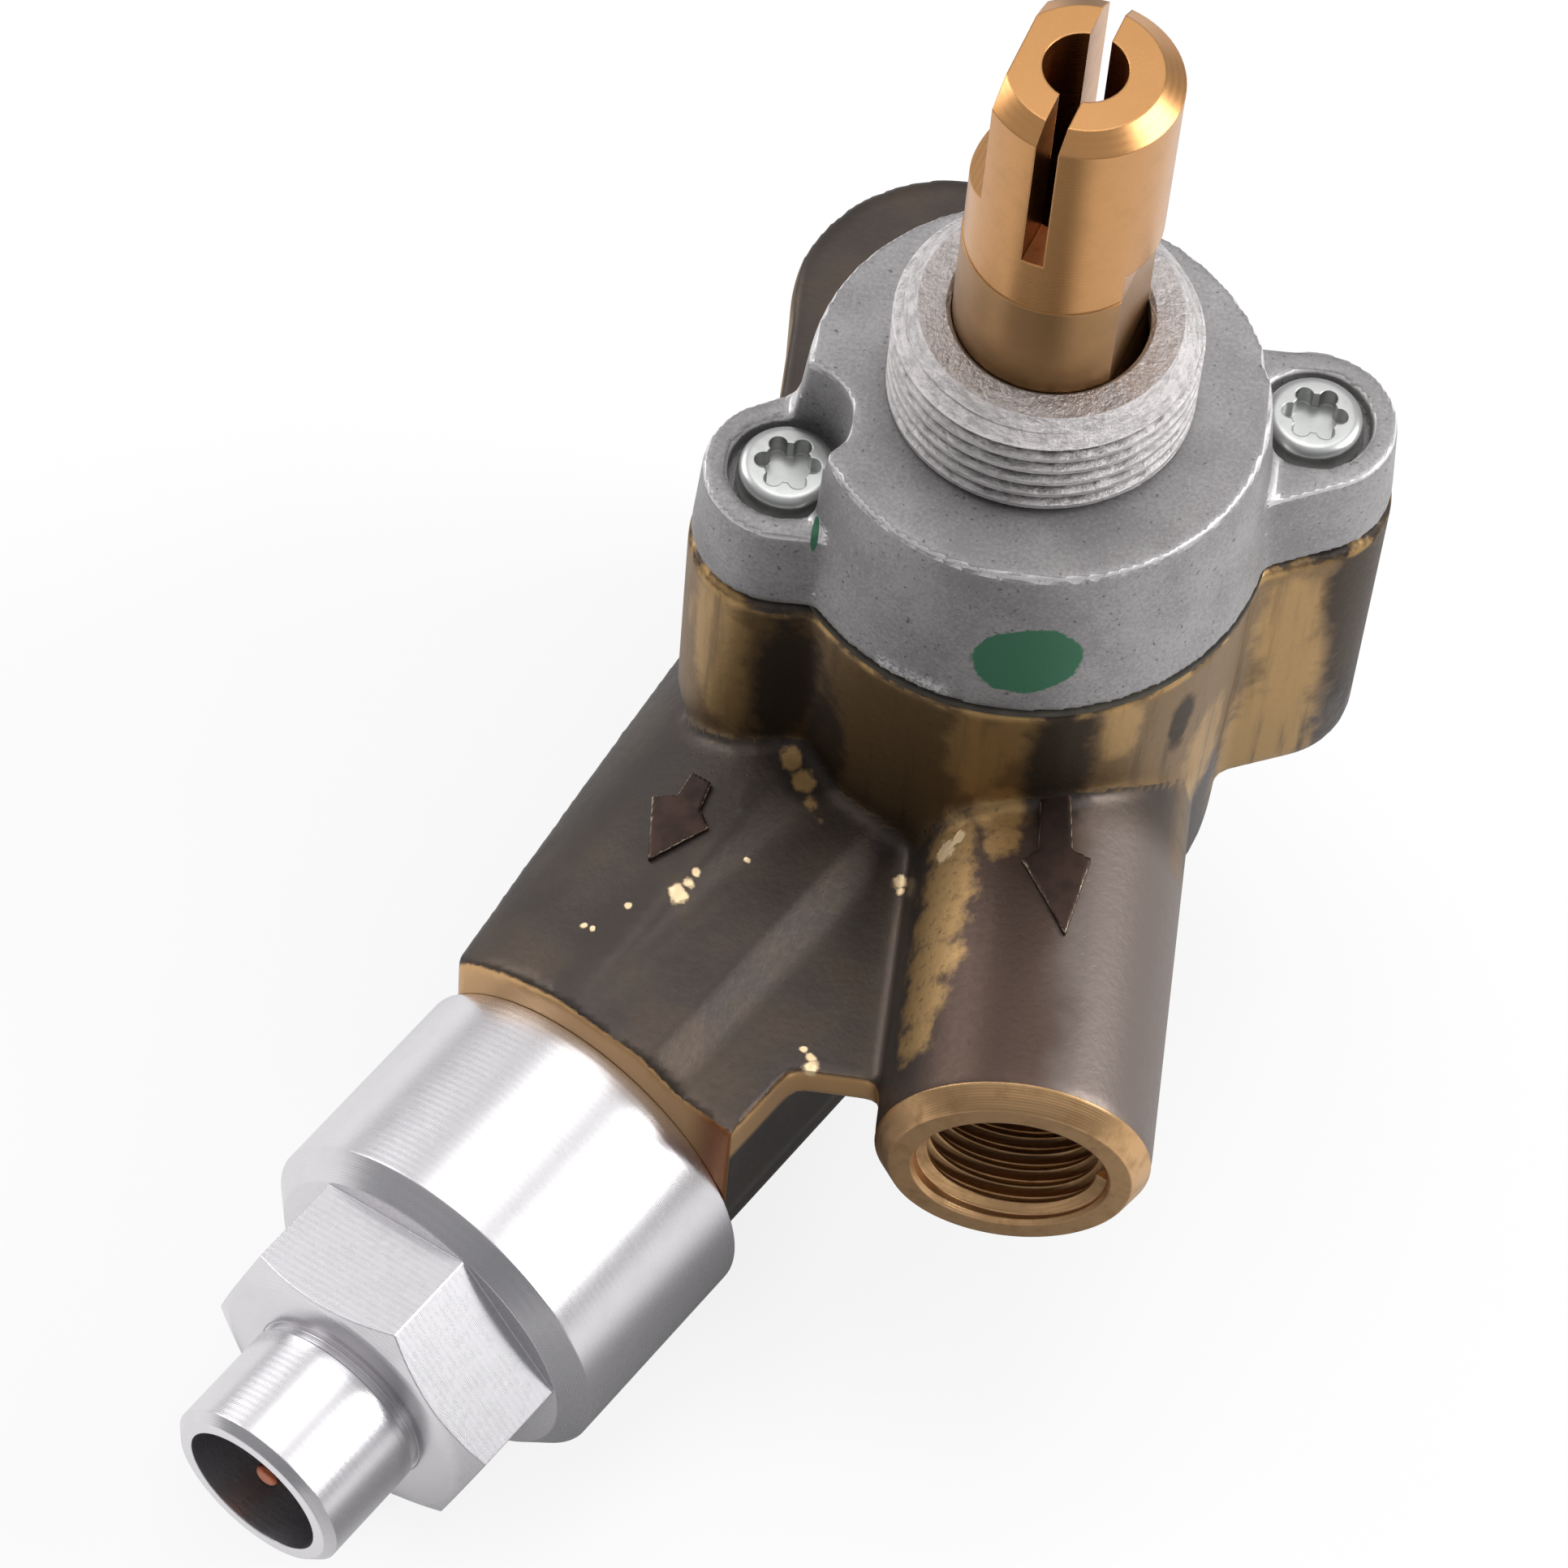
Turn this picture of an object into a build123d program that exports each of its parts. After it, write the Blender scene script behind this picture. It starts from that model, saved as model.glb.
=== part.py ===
from build123d import *

import os
from math import atan2, cos, degrees, radians, sin, sqrt

# Angled gas valve with a flame-failure magnet, in millimetres.
# Frame: +Z is the stem's axis, z = 0 is the cover's top face, where the panel seats,
# and the outlet points along -Y.

# Running and fixed clearances
RUN = 0.06
SEAT = 0.02
LOOSE = 0.3

# Panel collar and cover casting
COLLAR_R = 8.0
COLLAR_H = 6.65
COLLAR_CHAMFER = 1.2
COVER_TOP_R = 12.0
COVER_BASE_R = 13.05
COVER_H = 10.7
COVER_CEILING = 2.2
COVER_WALL = 3.0
MOUTH_CHAMFER = 0.25
EAR_R = 4.4
EAR_DRAFT = 4.0
EAR_TOP = -5.0
EAR_NECK_R = 7.2
SCREW_L = (-12.4, -3.5)
SCREW_R = (14.4, 4.05)
COUNTERBORE_R = 3.1
COUNTERBORE_DEPTH = 1.5
GASKET_T = 0.3

# Cover screws
SCREW_HEAD_R = 2.6
SCREW_HEAD_H = 1.9
SCREW_HEAD_ROUND = 0.6
SCREW_SHANK_R = 1.5
SCREW_LENGTH = 12.0
TORX_CORE_R = 1.26
TORX_LOBE_R = 0.49
TORX_DEPTH = 1.2

# Stem
STEM_R = 4.98
STEM_LOWER_R = 5.04
STEM_STEP_Z = 12.9
STEM_TOP_Z = 26.1
STEM_CHAMFER_R = 1.1
STEM_CHAMFER_H = 0.8
STEM_HOLE_R = 2.12
STEM_HOLE_FLOOR = -1.2
STEM_FLAT = 3.35
STEM_FLAT_Z = 17.1
STEM_FLAT_AZ = 164.5
STEM_LOWER_FLAT = 4.2
STEM_LOWER_FLAT_Z = 14.9
STEM_LOWER_FLAT_END = 4.2
STEM_SLOT_W = 1.15
STEM_SLOT_FLOOR = 16.4
SAW_R = 20.0
FLAT_RUN = 1.2
STEM_FLANGE_R = 7.0
STEM_FLANGE_T = 1.8
STEM_TRAVEL = 3.2
TONGUE_T = 3.0
TONGUE_W = 7.0
TONGUE_LENGTH = 11.6
O_RING_Z = 1.8
O_RING_WIRE = 0.65
BYPASS_LENGTH = 4.0
BYPASS_SLOT_W = 0.8
BYPASS_SLOT_DEPTH = 1.2
SPRING_WIRE_R = 0.4
SPRING_R = 5.2
SPRING_TURNS = 4

# Taper plug
PLUG_TOP_Z = -12.2
PLUG_BOTTOM_Z = -33.0
PLUG_TOP_R = 7.0
PLUG_BOTTOM_R = 5.2
PLUG_BORE_R = 3.4
PLUG_BORE_TOP = -23.8
PLUG_SLOT_FLOOR = -20.4
PORT_R = 1.9
LOW_FLAME_R = 0.5
ROD_R = 1.25
ROD_END_Z = -35.9

# Forged body
BARREL_TOP_R = 13.05
BARREL_BASE_R = 12.4
BARREL_BASE_Z = -36.5
BOSS_R = 4.9
BOSS_L_Z = -25.0
BOSS_R_Z = -31.0
BOSS_HOLE_DEPTH = 10.5
BARREL_ROUND = 2.0
BOSS_ROUND = 1.5

# Outlet arm
OUTLET_X = 3.84
OUTLET_Z = -26.4
OUTLET_R = 7.28
OUTLET_END = 31.2
OUTLET_CHAMFER_R = 0.84
OUTLET_CHAMFER_L = 1.25
OUTLET_BORE_R = 4.46
OUTLET_MOUTH_R = 5.05
OUTLET_BORE_L = 10.0

# Magnet arm
ARM_ANGLE = 30.8
ARM_OFFSET = -3.0
ARM_Z = -37.5
ARM_END = 32.4
ARM_BACK = 8.0
ARM_SIDE_L = 8.8
ARM_SIDE_R = 9.7
ARM_UNDER_R = 8.9
ARM_FLANK_H = 3.0
ARM_TOP = 11.55
RIDGE_TOP = 12.75
RIDGE_EDGE = 6.4
RIDGE_SLOPE = 2.6
CROWN_END_R = 12.9
CROWN_TAPER = 0.074
CREASE_ROOT = 3.25
CREASE_DRIFT = 0.12
CREASE_SLOPE = 0.46
ARM_FLARE = 5.0
WEB_TOP = -26.0
WEB_T = 2.3
WEB_FRONT = 26.9
WEB_REACH = 25.9
CHAMBER_R = 7.0
SEAT_R = 4.2
SEAT_A = 17.5
SEAL_R = 7.9
SEAL_T = 1.0

# Rear inlet boss, opening downward
INLET_X = -4.65
INLET_Y = 15.1
INLET_R = 9.3
INLET_TOP = -14.5
INLET_BASE = -47.0
INLET_BORE_R = 6.46
INLET_BORE_L = 14.0
INLET_DRILL_R = 4.5
INLET_DRILL_L = 19.0
INLET_FLANK_X = -13.75
CHANNEL_R = 1.5
CHANNEL_L = -6.3
CHANNEL_H = 4.2
CHANNEL_BACK = 10.0

# Rocker lever between push rod and magnet valve
PIVOT_A = 9.3
PIVOT_Z = -33.2
PIVOT_R = 1.0
PIN_GRIP = 1.6
HUB_R = 2.0
LEVER_T = 1.9
PAD_R = 1.6
PAD_BACK = 1.2
LEVER_ARM_R = 1.1
NOSE_R = 1.4
NOSE_LEAD = 0.5
LEVER_GAP = 0.15

# Magnet nut
NUT_R = 10.65
NUT_FRONT = 44.6
NUT_CHAMFER = 1.3
HEX_AF = 16.0
HEX_END = 52.4
HEX_TURN = 12.0
HEX_FACE_R = 7.6
HEX_CHAMFER_L = 0.9
NUT_SPIGOT = 25.5
NUT_BORE_R = 5.9
NUT_LIP = 2.4

# Magnet unit
BASE_R = 5.85
CUP_WALL = 0.8
CUP_END = 36.0
CAN_FRONT = 26.2
CAN_WALL = 0.6
CUP_FLOOR = 43.0
NOSE_TUBE_R = 5.35
NOSE_END = 59.6
NOSE_GROOVE = 0.35
NOSE_GROOVE_W = 0.6
NOSE_CHAMFER = 0.5
SOCKET_R = 4.15
SOCKET_FLOOR = 53.6
PIN_R = 0.7
PIN_TIP = 58.6
PIN_ROUND = 0.3
INSULATOR_R = 1.6
INSULATOR_HEAD_T = 1.3
CORE_LEG_R = 1.2
CORE_LEG_PITCH = 2.3
CORE_TIP = 31.6
YOKE_T = 3.2
COIL_GAP = 0.13
COIL_L = 6.0
ARMATURE_R = 4.2
ARMATURE_T = 1.2
VALVE_TRAVEL = 1.4
DISC_R = 6.2
DISC_T = 1.8
SPINDLE_R = 1.2
VALVE_SPRING_R = 3.3
VALVE_WIRE_R = 0.3
VALVE_SPRING_TURNS = 4

# Derived places
ARM_DIR = Vector(-sin(radians(ARM_ANGLE)), -cos(radians(ARM_ANGLE)), 0)
ARM_SIDE = Vector(cos(radians(ARM_ANGLE)), -sin(radians(ARM_ANGLE)), 0)
ARM_ORIGIN = ARM_SIDE * ARM_OFFSET + Vector(0, 0, ARM_Z)
ARM = Plane(origin=ARM_ORIGIN, x_dir=ARM_SIDE, z_dir=ARM_DIR)
OUT = Plane(origin=(OUTLET_X, 0, OUTLET_Z), x_dir=(1, 0, 0), z_dir=(0, -1, 0))
BODY_TOP = -COVER_H - GASKET_T
SHOULDER_Z = -COVER_CEILING - SEAT
FLANGE_BASE = SHOULDER_Z - STEM_FLANGE_T
PLUG_SLOPE = (PLUG_TOP_R - PLUG_BOTTOM_R) / (PLUG_TOP_Z - PLUG_BOTTOM_Z)
STEM_LINE = -ARM_OFFSET
PORT_PLUG_R = PLUG_BOTTOM_R + PLUG_SLOPE * (OUTLET_Z - PLUG_BOTTOM_Z)
GAS_AZ = degrees(atan2(-sqrt(PORT_PLUG_R**2 - OUTLET_X**2), OUTLET_X))
NOSE_A = PIVOT_A + NOSE_LEAD
CORE_YOKE = CUP_FLOOR - YOKE_T
CAN_R = BASE_R - CUP_WALL - SEAT
COIL_R = CAN_R - CAN_WALL - CORE_LEG_PITCH - COIL_GAP


def rod(plane, r, start, end):
    """Round bar along a plane's normal between two distances from its origin."""
    return plane * Pos(0, 0, start) * Cylinder(r, end - start, align=(Align.CENTER, Align.CENTER, Align.MIN))


def upright(x, y, r, low, high):
    """Round bar along Z between two heights."""
    return Pos(x, y, low) * Cylinder(r, high - low, align=(Align.CENTER, Align.CENTER, Align.MIN))


def turned(points, plane=Plane.XY):
    """Solid of revolution about a plane's normal from (radius, height) points."""
    face = make_face(Polyline(*points, close=True).edges())
    return plane * revolve(Plane.XZ * face, Axis.Z)


def lobe_outline(centre, lobe_r, neck_r):
    """Tangent outline round one screw and the stem's axis."""
    return link(centre, lobe_r, (0, 0), neck_r)


def half_space(plane, size=200):
    """Large block on the positive side of a plane, for cutting flats."""
    return plane * Box(size, size, size, align=(Align.CENTER, Align.CENTER, Align.MIN))


def flat_cut(azimuth, distance, low, high):
    """Block that leaves a flat at a distance from the stem's axis, with a sloping run-out at its foot."""
    reach = STEM_R + STEM_LOWER_R
    foot = low + FLAT_RUN * (1 - (reach - distance) / (STEM_R - distance))
    outline = Polyline((distance, low + FLAT_RUN), (reach, foot), (reach, high), (distance, high), close=True)
    side = make_face(outline.edges())
    return Rot(0, 0, azimuth) * extrude(Plane.XZ * side, amount=reach, both=True)


def coil(radius, wire_r, low, high, turns, plane=Plane.XY):
    """Compression spring with its ends resting between two heights."""
    height = high - low - 2 * wire_r
    path = Pos(0, 0, low + wire_r) * Helix(height / turns, height, radius)
    section = Plane(origin=path @ 0, z_dir=path % 0) * Circle(wire_r)
    return plane * sweep(section, path=path, is_frenet=True)


def plug_radius(z):
    """Radius of the plug's taper at a height."""
    return PLUG_BOTTOM_R + PLUG_SLOPE * (z - PLUG_BOTTOM_Z)


def valve_body():
    """Hot-forged brass body: barrel, screw bosses, outlet arm, magnet arm, web and inlet boss."""
    barrel = turned([(0, BODY_TOP), (BARREL_TOP_R, BODY_TOP), (BARREL_BASE_R, BARREL_BASE_Z),
                     (0, BARREL_BASE_Z)])
    barrel = fillet(barrel.edges().group_by(Axis.Z)[0], BARREL_ROUND)
    boss_l = extrude(Pos(0, 0, BODY_TOP) * lobe_outline(SCREW_L, BOSS_R, EAR_NECK_R), BOSS_L_Z - BODY_TOP)
    boss_r = extrude(Pos(0, 0, BODY_TOP) * lobe_outline(SCREW_R, BOSS_R, EAR_NECK_R), BOSS_R_Z - BODY_TOP)
    boss_r = fillet(boss_r.edges().group_by(Axis.Z)[0], BOSS_ROUND)
    outlet = turned([(0, 0), (OUTLET_R, 0), (OUTLET_R, OUTLET_END - OUTLET_CHAMFER_L),
                     (OUTLET_R - OUTLET_CHAMFER_R, OUTLET_END), (0, OUTLET_END)], OUT)
    body = barrel + boss_l + boss_r + outlet + magnet_arm() + web() + inlet_boss()
    return body - body_cavities()


def magnet_arm():
    """Arm with a round underside, a round crown on its left and two stepped ridges on its top."""
    section = make_face(Polyline((-ARM_SIDE_L, 0), (ARM_UNDER_R, 0), (ARM_SIDE_R, ARM_FLANK_H),
                                 (ARM_SIDE_R, ARM_TOP), (0, ARM_TOP), (-ARM_SIDE_L, ARM_FLANK_H),
                                 close=True).edges())
    section += Circle(ARM_UNDER_R)
    ridge = make_face(Polyline((-RIDGE_SLOPE, 0), (RIDGE_EDGE, 0), (RIDGE_EDGE, ARM_TOP),
                               (RIDGE_EDGE - RIDGE_SLOPE, RIDGE_TOP), (-RIDGE_SLOPE, RIDGE_TOP),
                               close=True).edges())
    arm = ARM * Pos(0, 0, -ARM_BACK) * extrude(section, ARM_END + ARM_BACK)
    return arm + ARM * extrude(ridge, ARM_END) + arm_crown()


def arm_crown():
    """Tapering round crown of the arm, cut by its left flank and a sloping face above the first ridge."""
    root_r = CROWN_END_R + CROWN_TAPER * ARM_END
    crown = turned([(0, 0), (root_r, 0), (CROWN_END_R, ARM_END), (0, ARM_END)], ARM)
    plan = make_face(Polyline((-ARM_SIDE_L - ARM_FLARE, 0), (CREASE_ROOT, 0), (CREASE_ROOT, ARM_END),
                              (-ARM_SIDE_L, ARM_END), close=True).edges())
    level = Plane(origin=ARM_ORIGIN, x_dir=ARM_SIDE, z_dir=(0, 0, -1))
    crown &= level * Pos(0, 0, -root_r) * extrude(plan, root_r)
    foot = ARM_ORIGIN + ARM_SIDE * CREASE_ROOT + Vector(0, 0, RIDGE_TOP)
    slope = Vector(0, 0, 1) + (ARM_SIDE + ARM_DIR * CREASE_DRIFT) * CREASE_SLOPE
    return crown - half_space(Plane(origin=foot, x_dir=ARM_SIDE - Vector(0, 0, CREASE_SLOPE), z_dir=slope))


def web():
    """Flat web that ties the magnet arm to the outlet arm along the forging's parting plane."""
    near_arm = ARM_ORIGIN + ARM_DIR * WEB_REACH
    outline = Polyline((0, 0), (near_arm.X, near_arm.Y), (near_arm.X, -WEB_FRONT), (OUTLET_X, -WEB_FRONT),
                       close=True)
    return Pos(0, 0, WEB_TOP) * extrude(make_face(outline.edges()), -WEB_T)


def inlet_boss():
    """Upright inlet boss behind the barrel, with the forged bridge that joins them."""
    boss = upright(INLET_X, INLET_Y, INLET_R, INLET_BASE, INLET_TOP)
    bridge = make_face(Polyline((INLET_FLANK_X, 0), (INLET_FLANK_X, INLET_Y), (INLET_X, INLET_Y),
                                (INLET_X + INLET_R, INLET_Y), (INLET_X + INLET_R, 0), close=True).edges())
    return boss + Pos(0, 0, INLET_TOP) * extrude(bridge, BARREL_BASE_Z - INLET_TOP)


def body_cavities():
    """Plug seat, gas ways, lever pocket, magnet chamber, threads' core holes and screw holes."""
    grow = RUN
    cut = turned([(0, BODY_TOP), (plug_radius(BODY_TOP) + grow, BODY_TOP),
                  (plug_radius(PLUG_BOTTOM_Z) + grow, PLUG_BOTTOM_Z), (0, PLUG_BOTTOM_Z)])
    cut += upright(0, 0, PLUG_BOTTOM_R, ROD_END_Z, PLUG_BOTTOM_Z)
    cut += lever_pocket()
    cut += rod(ARM, SEAT_R, PIVOT_A, SEAT_A) + rod(ARM, CHAMBER_R, SEAT_A, ARM_END)
    cut += rod(ARM, SEAL_R, ARM_END - SEAL_T, ARM_END)
    cut += rod(ARM * Pos(CHANNEL_L, CHANNEL_H, 0), CHANNEL_R, -CHANNEL_BACK, SEAT_A + CHANNEL_R)
    cut += rod(OUT, PORT_R, 0, OUTLET_END) + rod(OUT, OUTLET_BORE_R, OUTLET_END - OUTLET_BORE_L, OUTLET_END)
    mouth = OUTLET_MOUTH_R - OUTLET_BORE_R
    cut += turned([(0, OUTLET_END - mouth), (OUTLET_BORE_R, OUTLET_END - mouth), (OUTLET_MOUTH_R, OUTLET_END),
                   (0, OUTLET_END)], OUT)
    cut += upright(INLET_X, INLET_Y, INLET_BORE_R, INLET_BASE, INLET_BASE + INLET_BORE_L)
    cut += upright(INLET_X, INLET_Y, INLET_DRILL_R, INLET_BASE, INLET_BASE + INLET_DRILL_L)
    cut += cross_pin(PIVOT_R + SEAT, pin_span() + 2 * SEAT)
    for x, y in (SCREW_L, SCREW_R):
        cut += upright(x, y, SCREW_SHANK_R + SEAT, BODY_TOP - BOSS_HOLE_DEPTH, BODY_TOP)
    return cut


def pocket_width():
    """Width of the pocket that the lever rocks in, across both the rod and the spindle."""
    return STEM_LINE + 2 * LEVER_T + 2 * LOOSE


def pin_span():
    """Length of the lever's pivot pin, let into both walls of its pocket."""
    return pocket_width() + 2 * PIN_GRIP


def cross_pin(r, length):
    """Round bar on the lever's pivot line, centred across its pocket."""
    return ARM * Pos(STEM_LINE / 2, PIVOT_Z - ARM_Z, PIVOT_A) * Rot(0, 90, 0) * Cylinder(r, length)


def lever_pocket():
    """Slot under the plug that the lever rocks in."""
    low = ROD_END_Z - LEVER_GAP - 2 * PAD_R - STEM_TRAVEL - LOOSE
    high = PIVOT_Z + HUB_R + LOOSE
    back = -PAD_BACK - PAD_R - LOOSE
    front = NOSE_A + NOSE_R + VALVE_TRAVEL + LOOSE
    block = Box(pocket_width(), high - low, front - back, align=(Align.CENTER, Align.MIN, Align.MIN))
    return ARM * Pos(STEM_LINE / 2, low - ARM_Z, back) * block


def bonnet_cover():
    """Die-cast cover: drafted disc, two screw ears and the panel collar, hollow underneath."""
    cover = turned([(0, -COVER_H), (COVER_BASE_R, -COVER_H), (COVER_TOP_R, 0), (COLLAR_R, 0),
                    (COLLAR_R, COLLAR_H - COLLAR_CHAMFER), (COLLAR_R - COLLAR_CHAMFER, COLLAR_H),
                    (0, COLLAR_H)])
    for centre in (SCREW_L, SCREW_R):
        ear = Pos(0, 0, EAR_TOP) * lobe_outline(centre, EAR_R, EAR_NECK_R)
        cover += extrude(ear, amount=EAR_TOP + COVER_H, dir=(0, 0, -1), taper=-EAR_DRAFT)
    bore = STEM_LOWER_R + RUN
    cover -= turned([(0, -COVER_CEILING), (bore, -COVER_CEILING), (bore, COLLAR_H - MOUTH_CHAMFER),
                     (bore + MOUTH_CHAMFER, COLLAR_H), (0, COLLAR_H)])
    cover -= upright(0, 0, COVER_TOP_R - COVER_WALL, -COVER_H, -COVER_CEILING)
    floor = EAR_TOP - COUNTERBORE_DEPTH
    for x, y in (SCREW_L, SCREW_R):
        cover -= upright(x, y, COUNTERBORE_R, floor, COLLAR_H)
        cover -= upright(x, y, SCREW_SHANK_R + SEAT, -COVER_H, floor)
    return cover


def cover_gasket():
    """Thin gasket between cover and body, cut to their shared outline."""
    sheet = Circle(COVER_BASE_R)
    sheet += [lobe_outline(centre, EAR_R, EAR_NECK_R) for centre in (SCREW_L, SCREW_R)]
    sheet -= Circle(COVER_TOP_R - COVER_WALL)
    sheet -= [Pos(x, y) * Circle(SCREW_SHANK_R + SEAT) for x, y in (SCREW_L, SCREW_R)]
    return Pos(0, 0, BODY_TOP) * extrude(sheet, GASKET_T)


def cover_screw(centre):
    """Pan-head screw with a six-lobe recess."""
    seat = EAR_TOP - COUNTERBORE_DEPTH
    head = upright(*centre, SCREW_HEAD_R, seat, seat + SCREW_HEAD_H)
    head = fillet(head.edges().group_by(Axis.Z)[-1], SCREW_HEAD_ROUND)
    star = Circle(TORX_CORE_R)
    star += [Rot(0, 0, 60 * i) * Pos(TORX_CORE_R, 0) * Circle(TORX_LOBE_R) for i in range(6)]
    recess = Pos(*centre, seat + SCREW_HEAD_H - TORX_DEPTH) * extrude(star, TORX_DEPTH)
    return head + upright(*centre, SCREW_SHANK_R, seat - SCREW_LENGTH, seat) - recess


def stem():
    """Hollow slotted stem with a knob flat, a lower flat, a stop flange and a driving tongue."""
    body = turned([(0, FLANGE_BASE), (STEM_FLANGE_R, FLANGE_BASE), (STEM_FLANGE_R, SHOULDER_Z),
                   (STEM_LOWER_R, SHOULDER_Z), (STEM_LOWER_R, STEM_STEP_Z), (STEM_R, STEM_STEP_Z),
                   (STEM_R, STEM_TOP_Z - STEM_CHAMFER_H), (STEM_R - STEM_CHAMFER_R, STEM_TOP_Z),
                   (0, STEM_TOP_Z)])
    body -= upright(0, 0, STEM_HOLE_R, STEM_HOLE_FLOOR, STEM_TOP_Z)
    body -= flat_cut(STEM_FLAT_AZ, STEM_FLAT, STEM_FLAT_Z, STEM_TOP_Z)
    body -= flat_cut(STEM_FLAT_AZ + 180, STEM_LOWER_FLAT, STEM_LOWER_FLAT_END, STEM_LOWER_FLAT_Z)
    saw = Rot(0, 0, STEM_FLAT_AZ) * Rot(0, 90, 0) * Cylinder(SAW_R, STEM_SLOT_W)
    body -= Pos(0, 0, STEM_SLOT_FLOOR + sqrt(SAW_R**2 - STEM_R**2)) * saw
    groove = STEM_LOWER_R + RUN - 2 * O_RING_WIRE - 2 * SEAT
    body -= upright(0, 0, STEM_LOWER_R, O_RING_Z - O_RING_WIRE - SEAT, O_RING_Z + O_RING_WIRE + SEAT) \
        - upright(0, 0, groove, O_RING_Z - 2 * O_RING_WIRE, O_RING_Z + 2 * O_RING_WIRE)
    tongue = Box(TONGUE_T, TONGUE_W, TONGUE_LENGTH, align=(Align.CENTER, Align.CENTER, Align.MAX))
    return body + Rot(0, 0, STEM_FLAT_AZ) * Pos(0, 0, FLANGE_BASE) * tongue


def stem_o_ring():
    """Rubber ring in the stem's groove."""
    return Pos(0, 0, O_RING_Z) * Torus(STEM_LOWER_R + RUN - SEAT - O_RING_WIRE, O_RING_WIRE)


def bypass_screw():
    """Slotted low-flame screw at the foot of the stem's hole."""
    top = STEM_HOLE_FLOOR + BYPASS_LENGTH
    screw = upright(0, 0, STEM_HOLE_R - SEAT, STEM_HOLE_FLOOR, top)
    return screw - Pos(0, 0, top) * Box(BYPASS_SLOT_W, 4 * STEM_HOLE_R, 2 * BYPASS_SLOT_DEPTH)


def push_rod():
    """Rod from the stem's tongue down through the plug to the lever."""
    return upright(0, 0, ROD_R, ROD_END_Z, FLANGE_BASE - TONGUE_LENGTH)


def stem_return_spring():
    """Spring that lifts the stem and holds the plug in its taper."""
    return coil(SPRING_R, SPRING_WIRE_R, PLUG_TOP_Z + SEAT, FLANGE_BASE - SEAT, SPRING_TURNS)


def taper_plug():
    """Lapped taper plug with a driving slot, a gas bore and its two flame ports."""
    plug = turned([(0, PLUG_BOTTOM_Z), (PLUG_BOTTOM_R, PLUG_BOTTOM_Z), (PLUG_TOP_R, PLUG_TOP_Z),
                   (0, PLUG_TOP_Z)])
    plug -= upright(0, 0, PLUG_BORE_R, PLUG_BOTTOM_Z, PLUG_BORE_TOP)
    plug -= upright(0, 0, ROD_R + RUN, PLUG_BOTTOM_Z, PLUG_TOP_Z)
    slot = Box(TONGUE_T + 2 * RUN, TONGUE_W + 2 * RUN, PLUG_TOP_Z - PLUG_SLOT_FLOOR,
               align=(Align.CENTER, Align.CENTER, Align.MAX))
    plug -= Rot(0, 0, STEM_FLAT_AZ) * Pos(0, 0, PLUG_TOP_Z) * slot
    for turn, r in ((90, PORT_R), (180, LOW_FLAME_R)):
        bearing = radians(GAS_AZ - turn)
        way = Plane(origin=(0, 0, OUTLET_Z), z_dir=(cos(bearing), sin(bearing), 0))
        plug -= rod(way, r, 0, 2 * PLUG_TOP_R)
    return plug


def rocker_lever():
    """Bell-crank lever: a pad under the push rod and a nose behind the magnet's spindle."""
    hub = (PIVOT_A, PIVOT_Z - ARM_Z)
    pad = (-PAD_BACK, ROD_END_Z - LEVER_GAP - PAD_R - ARM_Z)
    nose = (NOSE_A, 0)
    side = Plane(origin=ARM_ORIGIN, x_dir=ARM_DIR, z_dir=-ARM_SIDE)
    near = side * Pos(0, 0, -STEM_LINE - LEVER_T)
    drop = near * extrude(link(hub, HUB_R, nose, NOSE_R), STEM_LINE + 2 * LEVER_T)
    reach = link(nose, LEVER_ARM_R, pad, LEVER_ARM_R) + Pos(*pad) * Circle(PAD_R)
    arm = near * extrude(reach, 2 * LEVER_T)
    return drop + arm - cross_pin(PIVOT_R + RUN, 2 * pin_span())


def link(start, start_r, end, end_r):
    """Tangent outline round two circles."""
    return make_hull([*CenterArc(start, start_r, 0, 360).edges(), *CenterArc(end, end_r, 0, 360).edges()])


def lever_pivot_pin():
    """Steel pin that the lever rocks on."""
    return cross_pin(PIVOT_R, pin_span())


def magnet_nut():
    """Aluminium nut: threaded spigot, round collar and chamfered hexagon."""
    nut = turned([(0, NUT_SPIGOT), (CHAMBER_R - SEAT, NUT_SPIGOT), (CHAMBER_R - SEAT, ARM_END + SEAT),
                  (NUT_R, ARM_END + SEAT), (NUT_R, NUT_FRONT), (NUT_R - NUT_CHAMFER, NUT_FRONT + NUT_CHAMFER),
                  (0, NUT_FRONT + NUT_CHAMFER)], ARM)
    corner = HEX_AF / sqrt(3)
    base = ARM * Pos(0, 0, NUT_FRONT) * Rot(0, 0, HEX_TURN)
    hexagon = base * extrude(RegularPolygon(corner, 6), HEX_END - NUT_FRONT)
    trim = turned([(0, NUT_FRONT), (2 * corner, NUT_FRONT), (corner, HEX_END - HEX_CHAMFER_L),
                   (HEX_FACE_R, HEX_END), (0, HEX_END)], ARM)
    nut += hexagon & trim
    nut -= rod(ARM, NUT_BORE_R, NUT_SPIGOT, HEX_END - NUT_LIP)
    return nut - rod(ARM, NOSE_TUBE_R + SEAT, NUT_SPIGOT, HEX_END)


def magnet_seal():
    """Flat seal between the nut's collar and the arm."""
    back = ARM_END - SEAL_T
    return rod(ARM, SEAL_R - SEAT, back + SEAT, ARM_END) - rod(ARM, CHAMBER_R, back, ARM_END)


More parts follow.
